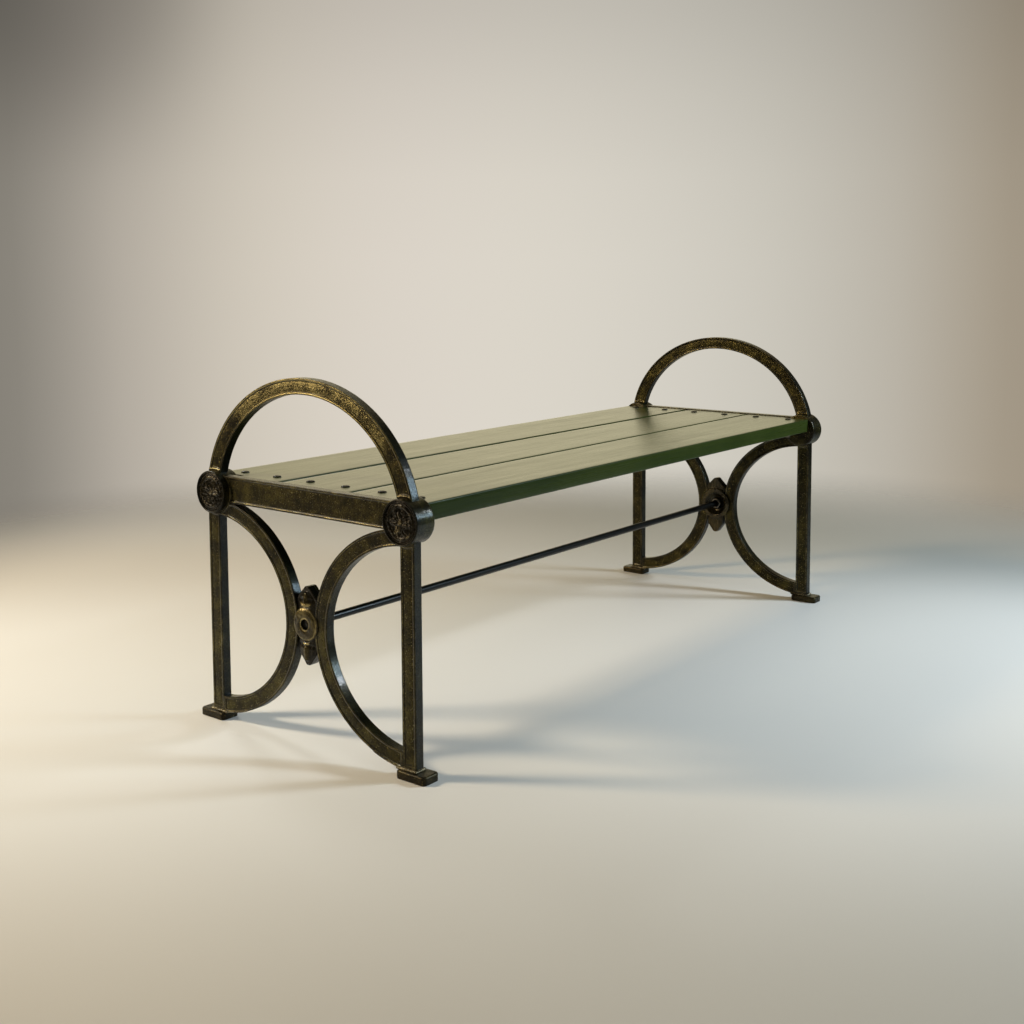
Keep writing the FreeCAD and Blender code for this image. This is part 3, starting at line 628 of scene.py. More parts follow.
def leaf_boss(side):
    count = 256
    turns, outer_reach, inner_reach = boss_reaches(count)
    cos, sin = np.cos(turns), np.sin(turns)
    loops, rub, grit = [], [], []

    def add(reach, x, rubbed, grain):
        reach = np.broadcast_to(reach, turns.shape)
        x = np.broadcast_to(x, turns.shape)
        loops.append([(side * (FRAME_X + a), r * c, ROD_Z + r * s) for a, r, c, s in zip(x, reach, cos, sin)])
        rub.append(np.broadcast_to(rubbed, turns.shape))
        grit.append(np.broadcast_to(grain, turns.shape))

    eye_floor = BOSS_OUT - 8.0
    # The eye's floor and walls get a grit mask of 0, which paints shade into the hole.
    add(ROD_RADIUS + 0.1, eye_floor, 0, 0)
    add(EYE_RADIUS - 0.2, eye_floor, 0, 0)
    add(EYE_RADIUS - 0.2, BAR_HALF + 1.5, 0, 0)
    add(EYE_RADIUS, BAR_HALF + 3.0, 0.3, 0)
    steps = 60
    for step in range(steps + 1):
        share = step / steps
        reach = EYE_RADIUS + 0.5 + (outer_reach - EYE_RADIUS - 0.5) * share
        heights = [leaf_relief(r * c, r * s, edge - r) for r, c, s, edge in zip(reach, cos, sin, outer_reach)]
        # The grit mask follows the relief's height: the set-back margin and other low parts get low values,
        # which paint shade into their colour.
        grain = [float(np.interp(h[0], (-3.0, 0.0, 1.5), (0.06, 0.15, 0.7))) for h in heights]
        add(reach, [BAR_HALF + h[0] for h in heights], [min(1, max(0, h[1])) for h in heights], grain)
    last = np.array([h[0] for h in heights]) + BAR_HALF
    for share in (0.15, 0.4, 0.7, 1.0):
        add(outer_reach, last + (-BAR_HALF - 0.4 - last) * share, 0.05, 0.1)
    flange = -BAR_HALF - 0.4
    add(inner_reach - 0.4, flange, 0.05, 0.6)
    add(inner_reach, flange - 0.8, 0.3, 0.5)
    add(inner_reach, BOSS_IN + 1.6, 0.2, 0.5)
    add(inner_reach - 0.5, BOSS_IN + 0.6, 0.3, 0.4)
    inner_steps = 22
    for step in range(inner_steps + 1):
        share = step / inner_steps
        reach = (inner_reach - 1.6) * (1 - share) + (DISH_MOUTH + 0.6) * share
        lobe = np.array([np.interp(r, (33.0, 36.0, 37.0, 38.6, 43.0, 60.0), (0, 0.1, 0.6, 2.4, 2.2, 1.2))
                         for r in reach])
        ripple = np.array([0.7 * bump_at((r * c) % 8.0 - 4.0, 1.6) if r > 40 else 0.0
                           for r, c in zip(reach, cos)])
        rubbed = np.array([np.interp(r, (27, 28.5, 34, 36.3, 37.5), (0.3, 0.15, 0.1, 0.4, 0)) for r in reach])
        add(reach, BOSS_IN + lobe + ripple, rubbed, 0.38)
    for share in (0.05, 0.35, 0.7, 1.0):
        reach = DISH_MOUTH + (DISH_FLOOR - DISH_MOUTH) * share
        add(reach, BOSS_IN + DISH_DEPTH * share ** 0.8, 0.25, 0.3)
    add(ROD_RADIUS + 0.1, BOSS_IN + DISH_DEPTH, 0, 0)
    return loft(loops, {"rub": rub, "grit": grit}, ring=True)


# ---- planks and rod ----

def plank_section(low, high, base, top, ease):
    """Loop round a plank: straight runs between four eased edges."""
    points = []
    corners = ((high, top, 0), (low, top, 90), (low, base, 180), (high, base, 270))
    for number, (y, z, start) in enumerate(corners):
        centre_y = y - ease if y == high else y + ease
        centre_z = z - ease if z == top else z + ease
        for share in range(6):
            turn = math.radians(start + 18 * share)
            points.append((centre_y + ease * math.cos(turn), centre_z + ease * math.sin(turn)))
        runs = 16 if number in (0, 2) else 4
        next_y, next_z, next_start = corners[(number + 1) % 4]
        next_centre_y = next_y - ease if next_y == high else next_y + ease
        next_centre_z = next_z - ease if next_z == top else next_z + ease
        turn = math.radians(next_start)
        target = (next_centre_y + ease * math.cos(turn), next_centre_z + ease * math.sin(turn))
        source = points[-1]
        for share in range(1, runs):
            t = share / runs
            points.append((source[0] + (target[0] - source[0]) * t, source[1] + (target[1] - source[1]) * t))
    return points


def plank(node):
    low, high = extent(node)
    outer_front = low[1] < -HUB_Y
    outer_rear = high[1] > HUB_Y
    notch_x = FRAME_X + HUB_IN - HUB_CLEAR
    notch_y = HUB_Y - HUB_ROOM
    reach = high[0]
    stations = [reach, reach, reach - 0.25, reach - 0.7, reach - 2.0, reach - 6.0]
    stations += [notch_x + 0.5, notch_x + 0.15, notch_x - 0.15, notch_x - 0.6, notch_x - 6.0]
    stations += list(np.linspace(notch_x - 14.0, 12.0, 54))
    stations = stations + [-x for x in reversed(stations)]
    insets = {0: 3.0, 1: 0.6, 2: 0.15}
    loops = []
    for number, x in enumerate(stations):
        inset = insets.get(min(number, len(stations) - 1 - number), 0.0)
        front, rear = low[1], high[1]
        if abs(x) > notch_x:
            front = -notch_y if outer_front else front
            rear = notch_y if outer_rear else rear
        section_points = plank_section(front + inset, rear - inset, low[2] + inset, high[2] - inset, 2.7)
        loops.append([(x, y, z) for y, z in section_points])
    loops = np.array(loops)
    crown = loops[:, :, 2].max(axis=1, keepdims=True)
    rub = np.clip(1 - (crown - loops[:, :, 2]) / 1.2, 0, 1)
    grit = np.full(loops.shape[:2], 0.5)
    return loft(loops, {"rub": rub, "grit": grit})


def tie_rod():
    reach = rod_high[0]
    thread_start = FRAME_X + BOSS_IN - 26.0
    pitch = 2.0
    half = [(reach, 0.5), (reach, ROD_RADIUS - 1.0), (reach - 1.0, ROD_RADIUS - 0.1)]
    along = reach - 1.5
    crest = True
    while along > thread_start:
        half.append((along, ROD_RADIUS if crest else ROD_RADIUS - 0.9))
        along -= pitch / 2
        crest = not crest
    half.append((thread_start - 1.0, ROD_RADIUS))
    half += [(x, ROD_RADIUS - 0.04) for x in np.linspace(thread_start - 14.0, 8.0, 60)]
    profile = half + [(-x, radius) for x, radius in reversed(half)]

    def place(x, radius, turn):
        return x, radius * math.cos(turn), ROD_Z + radius * math.sin(turn)
    loops = turned(profile, 40, place)
    shape = (len(profile), 40)
    rub = np.array([[0.8 if radius > ROD_RADIUS - 0.02 and abs(x) > thread_start else 0.1] * 40
                    for x, radius in profile])
    return loft(loops, {"rub": rub, "grit": np.full(shape, 0.3)})


# ---- fasteners, each made once about the origin and set out in rows ----

WHOLE_TURN = 6.2832


def upright(along, radius, turn):
    return radius * math.cos(turn), radius * math.sin(turn), along


def bolt_model():
    """Domed head on a plain shank, with turns of thread at its end."""
    top = head_high[2] - SEAT_TOP
    head = [(top * math.cos(share * math.pi / 2) ** 0.9 + 0.05, 7.4 * math.sin(share * math.pi / 2))
            for share in np.linspace(0.06, 1.0, 10)]
    tail = head_low[2] - SEAT_TOP
    shank = [(0.02, BOLT_SHANK), (-8.0, BOLT_SHANK), (-20.0, BOLT_SHANK)]
    along = tail + 16.0
    crest = True
    while along > tail + 0.6:
        shank.append((along, BOLT_SHANK if crest else BOLT_ROOT))
        along -= 0.6
        crest = not crest
    shank += [(tail, 2.3)]
    profile = head + [(0.0, 7.2)] + shank
    loops = turned(profile, 28, upright)
    rub = [[0.5 if 4.5 < radius < 7.0 and along > 0.1 else 0.15] * 28 for along, radius in profile]
    return loft(loops, {"rub": rub, "grit": np.full((len(profile), 28), 0.4)})


def washer_model():
    thick = washer_high[2] - washer_low[2]
    profile = [(0, 3.5), (0, 6.9), (0.25, 7.15), (thick - 0.25, 7.2), (thick, 6.9), (thick, 3.5)]
    return loft(turned(profile, 32, upright), ring=True)


def nut_model(corner, bore, thick):
    """Hexagon nut with both faces rounded off at the corners."""
    count = 48
    turns = np.linspace(0, 2 * math.pi, count, endpoint=False)
    flat = corner * math.cos(math.pi / 6)
    drop = (corner - flat) * 0.58
    loops = []
    levels = ((0, "bore"), (0, "face"), (drop * 0.5, "chamfer"), (drop, "full"), (thick - drop, "full"),
              (thick - drop * 0.5, "chamfer"), (thick, "face"), (thick, "bore"))
    for along, mode in levels:
        ring_points = []
        for turn in turns:
            off = abs((turn % (math.pi / 3)) - math.pi / 6)
            full = flat / math.cos(off)
            reach = {"bore": bore, "face": flat * 0.97, "chamfer": min(full, (flat + corner) / 2),
                     "full": full}[mode]
            ring_points.append((reach * math.cos(turn), reach * math.sin(turn), along))
        loops.append(ring_points)
    return loft(loops, ring=True)


def close_growth(tree, copies, finish):
    """Turns the copies into real geometry and gives them their finish."""
    real = stitch(tree, "GeometryNodeRealizeInstances", {"Geometry": copies.outputs[0]})
    dressed = stitch(tree, "GeometryNodeSetMaterial", {"Geometry": real.outputs[0], "Material": finish})
    stitch(tree, "NodeGroupOutput", {"Geometry": dressed.outputs[0]})
    return tree


def row_tree():
    """Geometry Nodes: copies of a fastener in an even row along Y, each turned by chance."""
    tree, given = new_tree("fastener row",
                           [("Geometry", "Geometry", None), ("Fastener", "Object", None),
                            ("Count", "Int", None), ("Start", "Vector", None), ("Pitch", "Float", None),
                            ("Seed", "Int", None), ("Finish", "Material", None)],
                           [("Geometry", "Geometry")], "GeometryNodeTree")
    step = stitch(tree, "ShaderNodeCombineXYZ", {"Y": given["Pitch"]})
    line = stitch(tree, "GeometryNodeMeshLine",
                  {"Count": given["Count"], "Start Location": given["Start"], "Offset": step.outputs[0]})
    model = stitch(tree, "GeometryNodeObjectInfo", {"Object": given["Fastener"]})
    chance = stitch(tree, "FunctionNodeRandomValue",
                    {"Min": (0.0, 0.0, 0.0), "Max": (0.0, 0.0, WHOLE_TURN), "Seed": given["Seed"]},
                    data_type="FLOAT_VECTOR")
    copies = stitch(tree, "GeometryNodeInstanceOnPoints",
                    {"Points": line.outputs[0], "Instance": model.outputs["Geometry"],
                     "Rotation": chance.outputs[0]})
    return close_growth(tree, copies, given["Finish"])


def bead_tree():
    """Geometry Nodes: a weld bead, as overlapping lumps of uneven size along a line."""
    tree, given = new_tree("weld bead",
                           [("Geometry", "Geometry", None), ("Spacing", "Float", None),
                            ("Lump", "Float", None), ("Seed", "Int", None), ("Finish", "Material", None)],
                           [("Geometry", "Geometry")], "GeometryNodeTree")
    line = stitch(tree, "GeometryNodeMeshToCurve", {0: given["Geometry"]})
    spaced = stitch(tree, "GeometryNodeResampleCurve",
                    {"Curve": line.outputs[0], "Length": given["Spacing"]}, mode="LENGTH")
    lump = stitch(tree, "GeometryNodeMeshIcoSphere", {"Radius": given["Lump"], "Subdivisions": 3})
    size = stitch(tree, "FunctionNodeRandomValue",
                  {"Min": (0.75, 0.75, 0.65), "Max": (1.15, 1.3, 1.05), "Seed": given["Seed"]},
                  data_type="FLOAT_VECTOR")
    spin = stitch(tree, "FunctionNodeRandomValue",
                  {"Min": (-0.5, -0.5, 0.0), "Max": (0.5, 0.5, 3.1), "Seed": given["Seed"]},
                  data_type="FLOAT_VECTOR")
    copies = stitch(tree, "GeometryNodeInstanceOnPoints",
                    {"Points": spaced.outputs[0], "Instance": lump.outputs[0],
                     "Rotation": spin.outputs[0], "Scale": size.outputs[0]})
    return close_growth(tree, copies, given["Finish"])


def grown(name, source, tree, **inputs):
    """Runs a Geometry Nodes tree on source and keeps the result as a plain mesh."""
    modifier = source.modifiers.new("grow", "NODES")
    modifier.node_group = tree
    sockets = {item.name: item.identifier for item in tree.interface.items_tree
               if item.item_type == "SOCKET" and item.in_out == "INPUT"}
    for label, setting in inputs.items():
        modifier[sockets[label]] = setting
    bpy.context.view_layer.update()
    shown = source.evaluated_get(bpy.context.evaluated_depsgraph_get())
    mesh = bpy.data.meshes.new_from_object(shown)
    mesh.name = name
    source.modifiers.remove(modifier)
    bpy.data.objects.remove(source)
    for polygon in mesh.polygons:
        polygon.use_smooth = True
    return set_out(name, mesh)


def line_object(points):
    mesh = bpy.data.meshes.new("line")
    links = [(first, first + 1) for first in range(len(points) - 1)]
    mesh.from_pydata((np.asarray(points, float) * MM).tolist(), links, [])
    return set_out("line", mesh)


# ---- finishes ----

def stitch(tree, kind, inputs=(), **settings):
    """Adds a node, sets it up, and feeds its sockets from other sockets or with plain values."""
    node = tree.nodes.new(kind)
    for name, setting in settings.items():
        setattr(node, name, setting)
    for key, source in dict(inputs).items():
        if isinstance(source, bpy.types.NodeSocket):
            tree.links.new(source, node.inputs[key])
        else:
            node.inputs[key].default_value = source
    return node


def new_tree(name, inputs, outputs, kind="ShaderNodeTree"):
    """An empty node group with named sockets, and what comes in through them."""
    tree = bpy.data.node_groups.new(name, kind)
    for label, sort, value in inputs:
        socket = tree.interface.new_socket(label, in_out="INPUT", socket_type=f"NodeSocket{sort}")
        if value is not None:
            socket.default_value = value
    for label, sort in outputs:
        tree.interface.new_socket(label, in_out="OUTPUT", socket_type=f"NodeSocket{sort}")
    return tree, stitch(tree, "NodeGroupInput").outputs


def noise_at(tree, place, scale, detail=2.0, roughness=0.5):
    node = stitch(tree, "ShaderNodeTexNoise",
                  {"Vector": place, "Scale": scale, "Detail": detail, "Roughness": roughness})
    return node.outputs["Fac"]


def remap(tree, source, low, high, to_low=0.0, to_high=1.0):
    node = stitch(tree, "ShaderNodeMapRange",
                  {"Value": source, "From Min": low, "From Max": high, "To Min": to_low, "To Max": to_high},
                  interpolation_type="SMOOTHSTEP")
    return node.outputs["Result"]


def sums(tree, operation, first, second):
    return stitch(tree, "ShaderNodeMath", {0: first, 1: second}, operation=operation).outputs[0]


def worked(tree, operation, value):
    """One value by itself, such as its absolute value."""
    return stitch(tree, "ShaderNodeMath", {0: value}, operation=operation).outputs[0]


def vertex_mask(tree, name):
    """One of the masks kept on the vertices."""
    return stitch(tree, "ShaderNodeAttribute", attribute_name=name).outputs["Fac"]


def cast_grain_effect():
    """Sand-cast skin: fine grit, wider lumps, sparse bright specks and slow patches of tone."""
    tree, given = new_tree("cast grain", [("Place", "Vector", None), ("Fineness", "Float", 1.0)],
                           [("Height", "Float"), ("Specks", "Float"), ("Patches", "Float"),
                            ("Grit", "Float")])
    sized = stitch(tree, "ShaderNodeVectorMath", {0: given["Place"], "Scale": given["Fineness"]},
                   operation="SCALE").outputs[0]
    grit = noise_at(tree, sized, 620.0, 3.0, 0.72)
    lumps = noise_at(tree, sized, 110.0, 2.0)
    patches = noise_at(tree, sized, 30.0, 4.0, 0.62)
    cells = stitch(tree, "ShaderNodeTexVoronoi", {"Vector": sized, "Scale": 480.0})
    dots = remap(tree, cells.outputs["Distance"], 0.45, 0.15)
    chosen = stitch(tree, "ShaderNodeSeparateColor", {0: cells.outputs["Color"]})
    sparse = remap(tree, chosen.outputs[0], 0.86, 0.94)
    specks = sums(tree, "MULTIPLY", dots, sparse)
    height = sums(tree, "ADD", sums(tree, "MULTIPLY", grit, 0.55), sums(tree, "MULTIPLY", lumps, 0.45))
    height = sums(tree, "ADD", height, sums(tree, "MULTIPLY", specks, 0.5))
    stitch(tree, "NodeGroupOutput", {"Height": height, "Specks": specks, "Patches": patches, "Grit": grit})
    return tree


def rubbed_effect():
    """Where handling has worn a raised edge bare: the edge mask broken up by grain."""
    tree, given = new_tree("rubbed edge",
                           [("Edge", "Float", 0.0), ("Grit", "Float", 0.5), ("Patches", "Float", 0.5),
                            ("Wear", "Float", 0.5)],
                           [("Bare", "Float")])
    spread = sums(tree, "MULTIPLY", given["Patches"], 0.7)
    broken = sums(tree, "ADD", sums(tree, "MULTIPLY", given["Grit"], 1.4), spread)
    worn = sums(tree, "ADD", sums(tree, "MULTIPLY", given["Edge"], given["Wear"]), broken)
    stitch(tree, "NodeGroupOutput", {"Bare": remap(tree, worn, 1.24, 1.68)})
    return tree


def paint_grain_effect():
    """Brushed paint over planed boards: long fine streaks, slow changes of tone, faint ripples."""
    tree, given = new_tree("paint grain", [("Place", "Vector", None)],
                           [("Height", "Float"), ("Streaks", "Float"), ("Tone", "Float")])
    stretched = stitch(tree, "ShaderNodeVectorMath", {0: given["Place"], 1: (0.018, 1.0, 1.0)},
                       operation="MULTIPLY").outputs[0]
    fine = noise_at(tree, stretched, 520.0, 4.0, 0.6)
    wide = noise_at(tree, stretched, 110.0, 2.0)
    tone = noise_at(tree, given["Place"], 9.0, 2.0)
    streaks = sums(tree, "ADD", sums(tree, "MULTIPLY", fine, 0.6), sums(tree, "MULTIPLY", wide, 0.4))
    stitch(tree, "NodeGroupOutput", {"Height": streaks, "Streaks": streaks, "Tone": tone})
    return tree


def mix(tree, share, first, second, blend="MIX"):
    node = stitch(tree, "ShaderNodeMix", {0: share, 6: first, 7: second}, data_type="RGBA",
                  blend_type=blend)
    return node.outputs[2]


def new_finish(name):
    finish = bpy.data.materials.new(name)
    finish.use_nodes = True
    tree = finish.node_tree
    tree.nodes.clear()
    place = stitch(tree, "ShaderNodeTexCoord").outputs["Object"]
    return finish, tree, place


def group_node(tree, group, inputs):
    return stitch(tree, "ShaderNodeGroup", inputs, node_tree=group).outputs


def close_finish(tree, colour, roughness, normal, metallic, constants):
    shader = stitch(tree, "ShaderNodeBsdfPrincipled",
                    {"Base Color": colour, "Roughness": roughness, "Metallic": metallic, "Normal": normal,
                     **constants})
    stitch(tree, "ShaderNodeOutputMaterial", {"Surface": shader.outputs[0]})


def bumped(tree, height, depth, strength):
    return stitch(tree, "ShaderNodeBump",
                  {"Height": height, "Distance": depth * MM, "Strength": strength}).outputs["Normal"]


CAST_GRAIN = cast_grain_effect()
RUBBED = rubbed_effect()
PAINT_GRAIN = paint_grain_effect()


def iron(name, dark, warm, bare, wear, rough, grit_depth, coat, even=0.0):
    """Dark bronze paint on a casting, rubbed through to olive gold on what stands proud, with painted shade
    where the grit mask is low.
    """
    finish, tree, place = new_finish(name)
    grain = group_node(tree, CAST_GRAIN, {"Place": place, "Fineness": 1.0})
    edge = vertex_mask(tree, "rub")
    steady = stitch(tree, "ShaderNodeMix", {0: even, 2: grain["Grit"], 3: 0.5}, data_type="FLOAT").outputs[0]
    worn = group_node(tree, RUBBED, {"Edge": edge, "Grit": steady, "Patches": grain["Patches"],
                                     "Wear": wear})
    fine = sums(tree, "MULTIPLY", grain["Grit"], 0.6)
    blend = sums(tree, "ADD", fine, sums(tree, "MULTIPLY", grain["Patches"], 0.4))
    tone = remap(tree, blend, 0.44, 0.60)
    colour = mix(tree, tone, (*dark, 1), (*warm, 1))
    colour = mix(tree, worn["Bare"], colour, (*bare, 1))
    skin_and_shade_mask = vertex_mask(tree, "grit")
    open_face = remap(tree, skin_and_shade_mask, 0.5, 1.0)
    # Painted shade: where the grit mask is low, in the bars' grooves and the boss's set-back margin and eye,
    # the colour is darkened towards 0.6 of the dark paint.
    shade = remap(tree, skin_and_shade_mask, 0.0, 0.75)
    colour = mix(tree, shade, (*[0.6 * c for c in dark], 1), colour)
    coat_weight = remap(tree, skin_and_shade_mask, 0.55, 0.95, coat, 0.12 * coat)
    specks = sums(tree, "MULTIPLY", grain["Specks"], open_face)
    colour = mix(tree, specks, colour, (*bare, 1))
    roughness = remap(tree, grain["Grit"], 0.3, 0.7, rough + 0.1, rough - 0.06)
    metal = remap(tree, worn["Bare"], 0.0, 1.0, 0.55, 0.9)
    normal = bumped(tree, grain["Height"], grit_depth, 1.0)
    pitted = remap(tree, grain["Grit"], 0.44, 0.58, 0.35, 1.5)
    lacquer = sums(tree, "MULTIPLY", coat_weight, pitted)
    close_finish(tree, colour, roughness, normal, metal,
                 {"Coat Weight": lacquer, "Coat Roughness": 0.17, "Specular IOR Level": 0.15})
    return finish


frame_iron = iron("frame iron", (0.0045, 0.004, 0.0010), (0.054, 0.047, 0.011), (0.34, 0.295, 0.135),
                  wear=0.68, rough=0.32, grit_depth=0.70, coat=0.26)
boss_iron = iron("boss iron", (0.010, 0.008, 0.003), (0.090, 0.073, 0.025), (0.36, 0.30, 0.14),
                 wear=0.60, rough=0.26, grit_depth=0.25, coat=0.25, even=0.5)
rosette_iron = iron("rosette iron", (0.004, 0.0034, 0.0015), (0.024, 0.019, 0.008), (0.34, 0.29, 0.17),
                    wear=0.50, rough=0.20, grit_depth=0.20, coat=0.12, even=0.75)
foot_iron = iron("foot iron", (0.006, 0.005, 0.0025), (0.038, 0.030, 0.012), (0.20, 0.155, 0.06),
                 wear=0.40, rough=0.34, grit_depth=0.50, coat=0.15)
weld_iron = iron("weld iron", (0.020, 0.017, 0.008), (0.15, 0.125, 0.065), (0.42, 0.36, 0.24),
                 wear=0.60, rough=0.34, grit_depth=0.60, coat=0.30)
rod_black = iron("rod black", (0.007, 0.007, 0.006), (0.014, 0.013, 0.010), (0.05, 0.043, 0.03),
                 wear=0.4, rough=0.34, grit_depth=0.12, coat=0.15)
bolt_black = iron("bolt black", (0.008, 0.0065, 0.004), (0.026, 0.019, 0.010), (0.11, 0.08, 0.045),
                  wear=0.5, rough=0.34, grit_depth=0.15, coat=0.3)


def seat_paint_finish():
    finish, tree, place = new_finish("seat paint")
    grain = group_node(tree, PAINT_GRAIN, {"Place": place})
    tone = remap(tree, grain["Tone"], 0.3, 0.7)
    streak = remap(tree, grain["Streaks"], 0.35, 0.68)
    colour = mix(tree, streak, (0.018, 0.030, 0.0048, 1), (0.033, 0.047, 0.008, 1))
    colour = mix(tree, sums(tree, "MULTIPLY", tone, 0.35), colour, (0.048, 0.060, 0.013, 1))
    roughness = remap(tree, grain["Streaks"], 0.3, 0.7, 0.34, 0.25)
    normal = bumped(tree, grain["Height"], 0.10, 0.8)
    walked = vertex_mask(tree, "rub")
    sheen = remap(tree, walked, 0.3, 0.9, 0.0, 0.57)
    streaked = remap(tree, grain["Streaks"], 0.3, 0.7, 0.75, 1.0)
    varnish = sums(tree, "MULTIPLY", sheen, streaked)
    close_finish(tree, colour, roughness, normal, 0.0,
                 {"IOR": 1.5, "Specular IOR Level": 0.12, "Coat Weight": varnish, "Coat Roughness": 0.28,
                  "Coat IOR": 1.6})
    return finish


def plated_finish():
    finish, tree, place = new_finish("plated steel")
    grain = group_node(tree, CAST_GRAIN, {"Place": place, "Fineness": 1.6})
    dulled = remap(tree, grain["Patches"], 0.35, 0.65)
    colour = mix(tree, dulled, (0.085, 0.080, 0.070, 1), (0.15, 0.14, 0.125, 1))
    roughness = remap(tree, grain["Grit"], 0.3, 0.7, 0.34, 0.48)
    normal = bumped(tree, grain["Height"], 0.04, 0.6)
    close_finish(tree, colour, roughness, normal, 0.9, {})
    return finish


seat_paint = seat_paint_finish()
plated_steel = plated_finish()


# ---- the bench ----

MAKERS = {"leg": leg, "bow": bow, "foot": foot, "hub": hub}
FINISHES = {"leg": frame_iron, "bow": frame_iron, "foot": foot_iron, "hub": frame_iron}
seed = 0
for side_name, side in SIDES:
    for end_name, end in ENDS:
        corner = f"{side_name}_{end_name}"
        for kind, maker in MAKERS.items():
            seed += 1
            piece = cast(f"{corner}_{kind}", [maker(side, end)], seed)
            finished(piece, [f"{corner}_{kind}"], FINISHES[kind])
        seed += 1
        piece = merged(f"{corner}_rosette_casting", [rosette(side, end, seed)])
        finished(piece, [f"{corner}_rosette"], rosette_iron)
    for kind, parts in (("arm_hoop", [hoop(side)]), ("seat_rail", [seat_rail_web(side), ledge(side)])):
        seed += 1
        piece = cast(f"{side_name}_{kind}", parts, seed)
        finished(piece, [f"{side_name}_{kind}"], frame_iron)
    seed += 1
    piece = merged(f"{side_name}_leaf_boss_casting", [leaf_boss(side)])
    roughen(piece, 0.8, 6.0, seed)
    finished(piece, [f"{side_name}_leaf_boss"], boss_iron)

for node in ("front_plank", "middle_plank", "rear_plank"):
    seed += 1
    piece = merged(f"{node}_board", [plank(node)])
    roughen(piece, 0.25, 60.0, seed, floor=1.0)
    finished(piece, [node], seat_paint)

piece = merged("tie_rod_bar", [tie_rod()])
roughen(piece, 0.08, 12.0, 90)
finished(piece, ["tie_rod"], rod_black)

row = row_tree()
bead = bead_tree()
FIRST_BOLT = -(BOLTS_PER_END - 1) / 2 * BOLT_PITCH
WELD_MASKS = {"rub": 0.45, "grit": 0.75}


def row_of(side_name, side, kind, model, z, finish):
    """One end's row of a fastener, from the front to the rear."""
    template = merged("template", [model])
    template.data.materials.append(finish)
    holder = line_object([(0, 0, 0), (1, 0, 0)])
    piece = grown(f"{side_name}_{kind}_row", holder, row, Fastener=template, Count=BOLTS_PER_END,
                  Start=(side * BOLT_X * MM, FIRST_BOLT * MM, z * MM), Pitch=BOLT_PITCH * MM,
                  Seed=3 + side, Finish=finish)
    bpy.data.objects.remove(template)
    return finished(piece, [f"{side_name}_{kind}s"], finish)


def foot_seam(side, end):
    """Along both faces of a leg and round its outer end, where it stands on its foot."""
    inner_y, outer_y = end * (LEG_INNER - 9.0), end * (LEG_OUTER + 0.5)
    out_x, in_x = side * (FRAME_X + BAR_HALF + 0.9), side * (FRAME_X - BAR_HALF - 0.9)
    level = FOOT_TOP + 0.8
    return [(out_x, inner_y, level), (out_x, outer_y, level), (in_x, outer_y, level), (in_x, inner_y, level)]


def bow_seam(side, end):
    """Along the lower edge of a bow, on its last stretch before the leg."""
    low_edge = oval_path(BOW_CENTRE, BOW_INNER, BOW_OUTER)
    sweep = [low_edge(turn, 0.96) for turn in np.linspace(-1.55, -0.95, 40)]
    return [(side * (FRAME_X + BAR_HALF - 0.3), end * y, z) for y, z in sweep
            if LEG_INNER - BOW_WELD < y < LEG_INNER - 3.0]


def weld(name, seam, spacing, lump, chance):
    piece = grown(name, line_object(seam), bead, Spacing=spacing * MM, Lump=lump * MM, Seed=chance,
                  Finish=weld_iron)
    for mask, level in WELD_MASKS.items():
        keep_mask(piece.data, mask, np.full(len(piece.data.vertices), level))
    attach(piece, "root")


for side_name, side in SIDES:
    seat_nut = nut_model(corner=5.9, bore=BOLT_SHANK, thick=seat_nut_high[2] - seat_nut_low[2])
    row_of(side_name, side, "seat_bolt", bolt_model(), SEAT_TOP, bolt_black)
    row_of(side_name, side, "seat_washer", washer_model(), washer_low[2], plated_steel)
    row_of(side_name, side, "seat_nut", seat_nut, seat_nut_low[2], plated_steel)
    points, faces, masks = nut_model(corner=12.7, bore=ROD_RADIUS, thick=nut_high[0] - nut_low[0])
    near = nut_low[0] if side > 0 else -nut_high[0]
    turned_points = np.stack([points[:, 2] + near, points[:, 0], points[:, 1] + ROD_Z], axis=1)
    piece = merged(f"{side_name}_rod_nut_hexagon", [(turned_points, faces, masks)])
    finished(piece, [f"{side_name}_rod_nut"], plated_steel)
    for end_name, end in ENDS:
        corner = f"{side_name}_{end_name}"
        chance = 3 * side + end
        weld(f"{corner}_foot_weld", foot_seam(side, end), spacing=2.9, lump=3.1, chance=11 + chance)
        weld(f"{corner}_bow_weld", bow_seam(side, end), spacing=2.2, lump=1.6, chance=31 + chance)


# ---- floor, light and camera ----

FLOOR_REACH = 4.0
CAMERA_PLACE = (-2.11192, -1.56865, 0.79621)
CAMERA_YAW = math.radians(51.5725)
CAMERA_PITCH = math.radians(-5.1687)
CAMERA_ROLL = math.radians(-0.2855)
CAMERA_LENS = 45.976
CAMERA_SHIFT = -0.1296
MIRRORED = 2.0
AMBIENT = 0.03
# whole turns keep a bearing above zero, and the half puts the camera's own in the middle of the ramp
TURNS_ON = 8.5
WARM_STAND = (-2.4, 2.3, 2.2)
COOL_STAND = (2.0, -2.5, 2.1)


def floor_finish():
    """Pale studio floor that gives way to the backdrop with distance from the bench."""
    finish, tree, place = new_finish("pale floor")
    flat = stitch(tree, "ShaderNodeVectorMath", {0: place, 1: (1.0, 1.0, 0.0)}, operation="MULTIPLY")
    length = stitch(tree, "ShaderNodeVectorMath", {0: flat.outputs[0]}, operation="LENGTH")
    kept = remap(tree, length.outputs["Value"], 1.35, 2.6, 1.0, 0.0)
    mottle = noise_at(tree, place, 1.3, 2.0)
    colour = mix(tree, mottle, (0.66, 0.64, 0.60, 1), (0.70, 0.68, 0.64, 1))
    shader = stitch(tree, "ShaderNodeBsdfPrincipled",
                    {"Base Color": colour, "Roughness": 0.55, "Alpha": kept, "IOR": 1.4})
    stitch(tree, "ShaderNodeOutputMaterial", {"Surface": shader.outputs[0]})
    return finish


